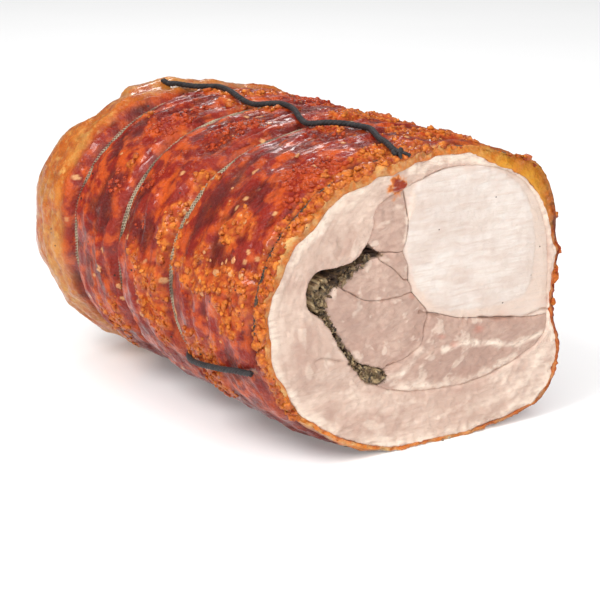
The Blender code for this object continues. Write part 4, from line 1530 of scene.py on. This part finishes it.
class PORCHETTA_OT_crumbs(bpy.types.Operator):
    """Bubbles, crumbs and flakes on the rind"""

    bl_idname = "porchetta.crumbs"
    bl_label = "Bubbles and crumbs"

    def execute(self, context):
        material = bpy.data.materials.get("Crackling")
        if material is None:
            self.report({"ERROR"}, "Make the rind first")
            return {"CANCELLED"}
        rng = np.random.default_rng(5)

        def crust_chance(theta, y):
            masks = skin(theta, y)[1]
            return (0.15 + 0.85 * masks["gold"]) * masks["crust"]

        def bubble_chance(theta, y):
            found = patches(BUBBLE_PATCHES, theta, y) + 0.35 * rough(wrapped(theta, y), 13, 11)
            return smoothstep(0.35, 0.8, found) * smoothstep(2, 5, from_tie(theta, y))

        theta, y = picked(rng, 26000, CUT_Y + 2 * MM, 0.078, (-60, 235), crust_chance)
        theta, y = theta[:MOST_CRUMBS], y[:MOST_CRUMBS]
        self.lumps("crumbs", theta, y, rng, material, (0.5, 1.9), 0.45, "crust", 1)
        theta, y = picked(rng, 20000, CUT_Y + 6 * MM, 0.070, (20, 215), bubble_chance)
        self.lumps("bubbles", theta, y, rng, material, (0.4, 1.4), 0.1, "bubble", 2)
        theta = np.radians(rng.normal(129, 6, ROUND_BUBBLES))
        y = np.clip(rng.normal(-0.101, 0.007, ROUND_BUBBLES), CUT_Y + 5 * MM, None)
        self.lumps("round_bubbles", theta, y, rng, material, (1.0, 2.1), 0.05, "bubble", 3)
        spread = rng.uniform(88, 212, RIM_CRUMBS)
        clusters = rng.normal(rng.choice((-8, 8, 52, 78), RIM_CLUSTER_CRUMBS), 5)
        theta = np.radians(np.append(spread, clusters))
        y = CUT_Y + np.abs(rng.normal(0, 0.0032, len(theta))) - 0.0004
        self.lumps("rim_crumbs", theta, y, rng, material, (0.6, 2.6), 0.55, "crust", 4)
        theta = np.append(rng.uniform(100, 215, SPREAD_FLAKES), rng.normal(171, 8, CLUSTER_FLAKES))
        theta = np.radians(theta)
        y = np.append(rng.uniform(-0.112, 0.05, SPREAD_FLAKES), rng.normal(-0.085, 0.016, CLUSTER_FLAKES))
        self.lumps("flakes", theta, y, rng, material, (0.7, 2.3), 0.4, "flake", 5)
        return {"FINISHED"}

    def lumps(self, name, theta, y, rng, material, size_range, lumpy, mask, seed):
        """Lumps of random sizes at places on the rind, left out where they would touch the ground."""
        place, ways = rind_frame(theta, y)
        low, high = size_range
        size = low + (high - low) * rng.uniform(0, 1, len(theta)) ** 2.2
        stretch = rng.uniform(0.75, 1.35, len(theta))
        flat = {"flake": 0.35, "bubble": 0.75}.get(mask, 0.7)
        sizes = np.stack([size * stretch, size / stretch, size * flat], -1) * MM
        keep = place[:, 2] > 4 * MM - CENTRE[2]
        tone = rng.uniform(0.45, 1.0, len(theta)) if mask == "crust" else np.full(len(theta), 0.8)
        values = {mask: tone[keep], "loose": np.ones(keep.sum())}
        strewn(name, place[keep], ways[:, keep], sizes[keep], 2, lumpy, seed, values, material)


class PORCHETTA_OT_knots(bpy.types.Operator):
    """The knots of the strings at the cut"""

    bl_idname = "porchetta.knots"
    bl_label = "Knots"

    def execute(self, context):
        dark, knit = bpy.data.materials.get("Dark cord"), bpy.data.materials.get("Tie string")
        if dark is None or knit is None:
            self.report({"ERROR"}, "Make the strings first")
            return {"CANCELLED"}
        spots = (
            ("knot_top", radians(99.8), -0.1165, 2.3 * MM, 1.1 * MM, dark, "dark_cord", 1.6 * MM),
            ("knot_bottom", radians(-78), -0.1160, 2.0 * MM, 0.75 * MM, knit, "tie_string", -0.4 * MM),
        )
        t = np.arange(72) * tau / 72
        knot_x, knot_y = np.sin(t) + 2 * np.sin(2 * t), np.cos(t) - 2 * np.cos(2 * t)
        knot = np.stack([knot_x, knot_y, -0.8 * np.sin(3 * t)], -1) / 3
        share = np.linspace(0, 1, 16)[:, None]
        for name, theta, y, size, radius, material, slot, lift in spots:
            place, ways = rind_frame(np.array([theta]), np.array([y]))
            out, round_way, long_way = ways[:, 0]
            middle = place[0] + out * (lift + radius)
            loop = middle + knot * size @ np.stack([round_way, long_way, out])
            points, faces = strands(loop, True, [(0 * t, 0 * t)], radius, 8)
            for side, length in ((-1, 5.5 * MM), (0.7, 4.5 * MM)):
                bend = -long_way * length * share + round_way * side * 3.0 * MM * share**1.5
                end = middle + bend - out * 2.2 * MM * share**2
                more, more_faces = strands(end, False, [(0 * share[:, 0], 0 * share[:, 0])], radius * 0.85)
                faces = np.concatenate([faces, more_faces + len(points)])
                points = np.concatenate([points, more])
            points[:, 2] = np.maximum(points[:, 2], 0.2 * MM - CENTRE[2])
            closed_piece(name, points, faces, {}, material)
        return {"FINISHED"}


class PORCHETTA_PT_panel(bpy.types.Panel):
    """Everything that makes the roll"""

    bl_idname = "PORCHETTA_PT_panel"
    bl_label = "Porchetta"
    bl_space_type = "VIEW_3D"
    bl_region_type = "UI"
    bl_category = "Porchetta"

    def draw(self, context):
        for group in (context.scene.porchetta_sizes, context.scene.porchetta_look):
            for key in group.__annotations__:
                self.layout.prop(group, key)
        for operator in OPERATORS:
            self.layout.operator(operator.bl_idname)


OPERATORS = [
    PORCHETTA_OT_stage, PORCHETTA_OT_rind, PORCHETTA_OT_meat, PORCHETTA_OT_herbs, PORCHETTA_OT_strings,
    PORCHETTA_OT_crumbs, PORCHETTA_OT_knots,
]
CLASSES = [RollSizes, RollLook, *OPERATORS, PORCHETTA_PT_panel]


def register():
    for made in CLASSES:
        bpy.utils.register_class(made)
    bpy.types.Scene.porchetta_sizes = PointerProperty(type=RollSizes)
    bpy.types.Scene.porchetta_look = PointerProperty(type=RollLook)


def unregister():
    del bpy.types.Scene.porchetta_look
    del bpy.types.Scene.porchetta_sizes
    for made in reversed(CLASSES):
        bpy.utils.unregister_class(made)


def main():
    """Registers the add-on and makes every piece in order."""
    register()
    bpy.ops.porchetta.stage()
    bpy.ops.porchetta.rind()
    bpy.ops.porchetta.meat()
    bpy.ops.porchetta.herbs()
    bpy.ops.porchetta.strings()
    bpy.ops.porchetta.crumbs()
    bpy.ops.porchetta.knots()


if __name__ == "__main__":
    main()
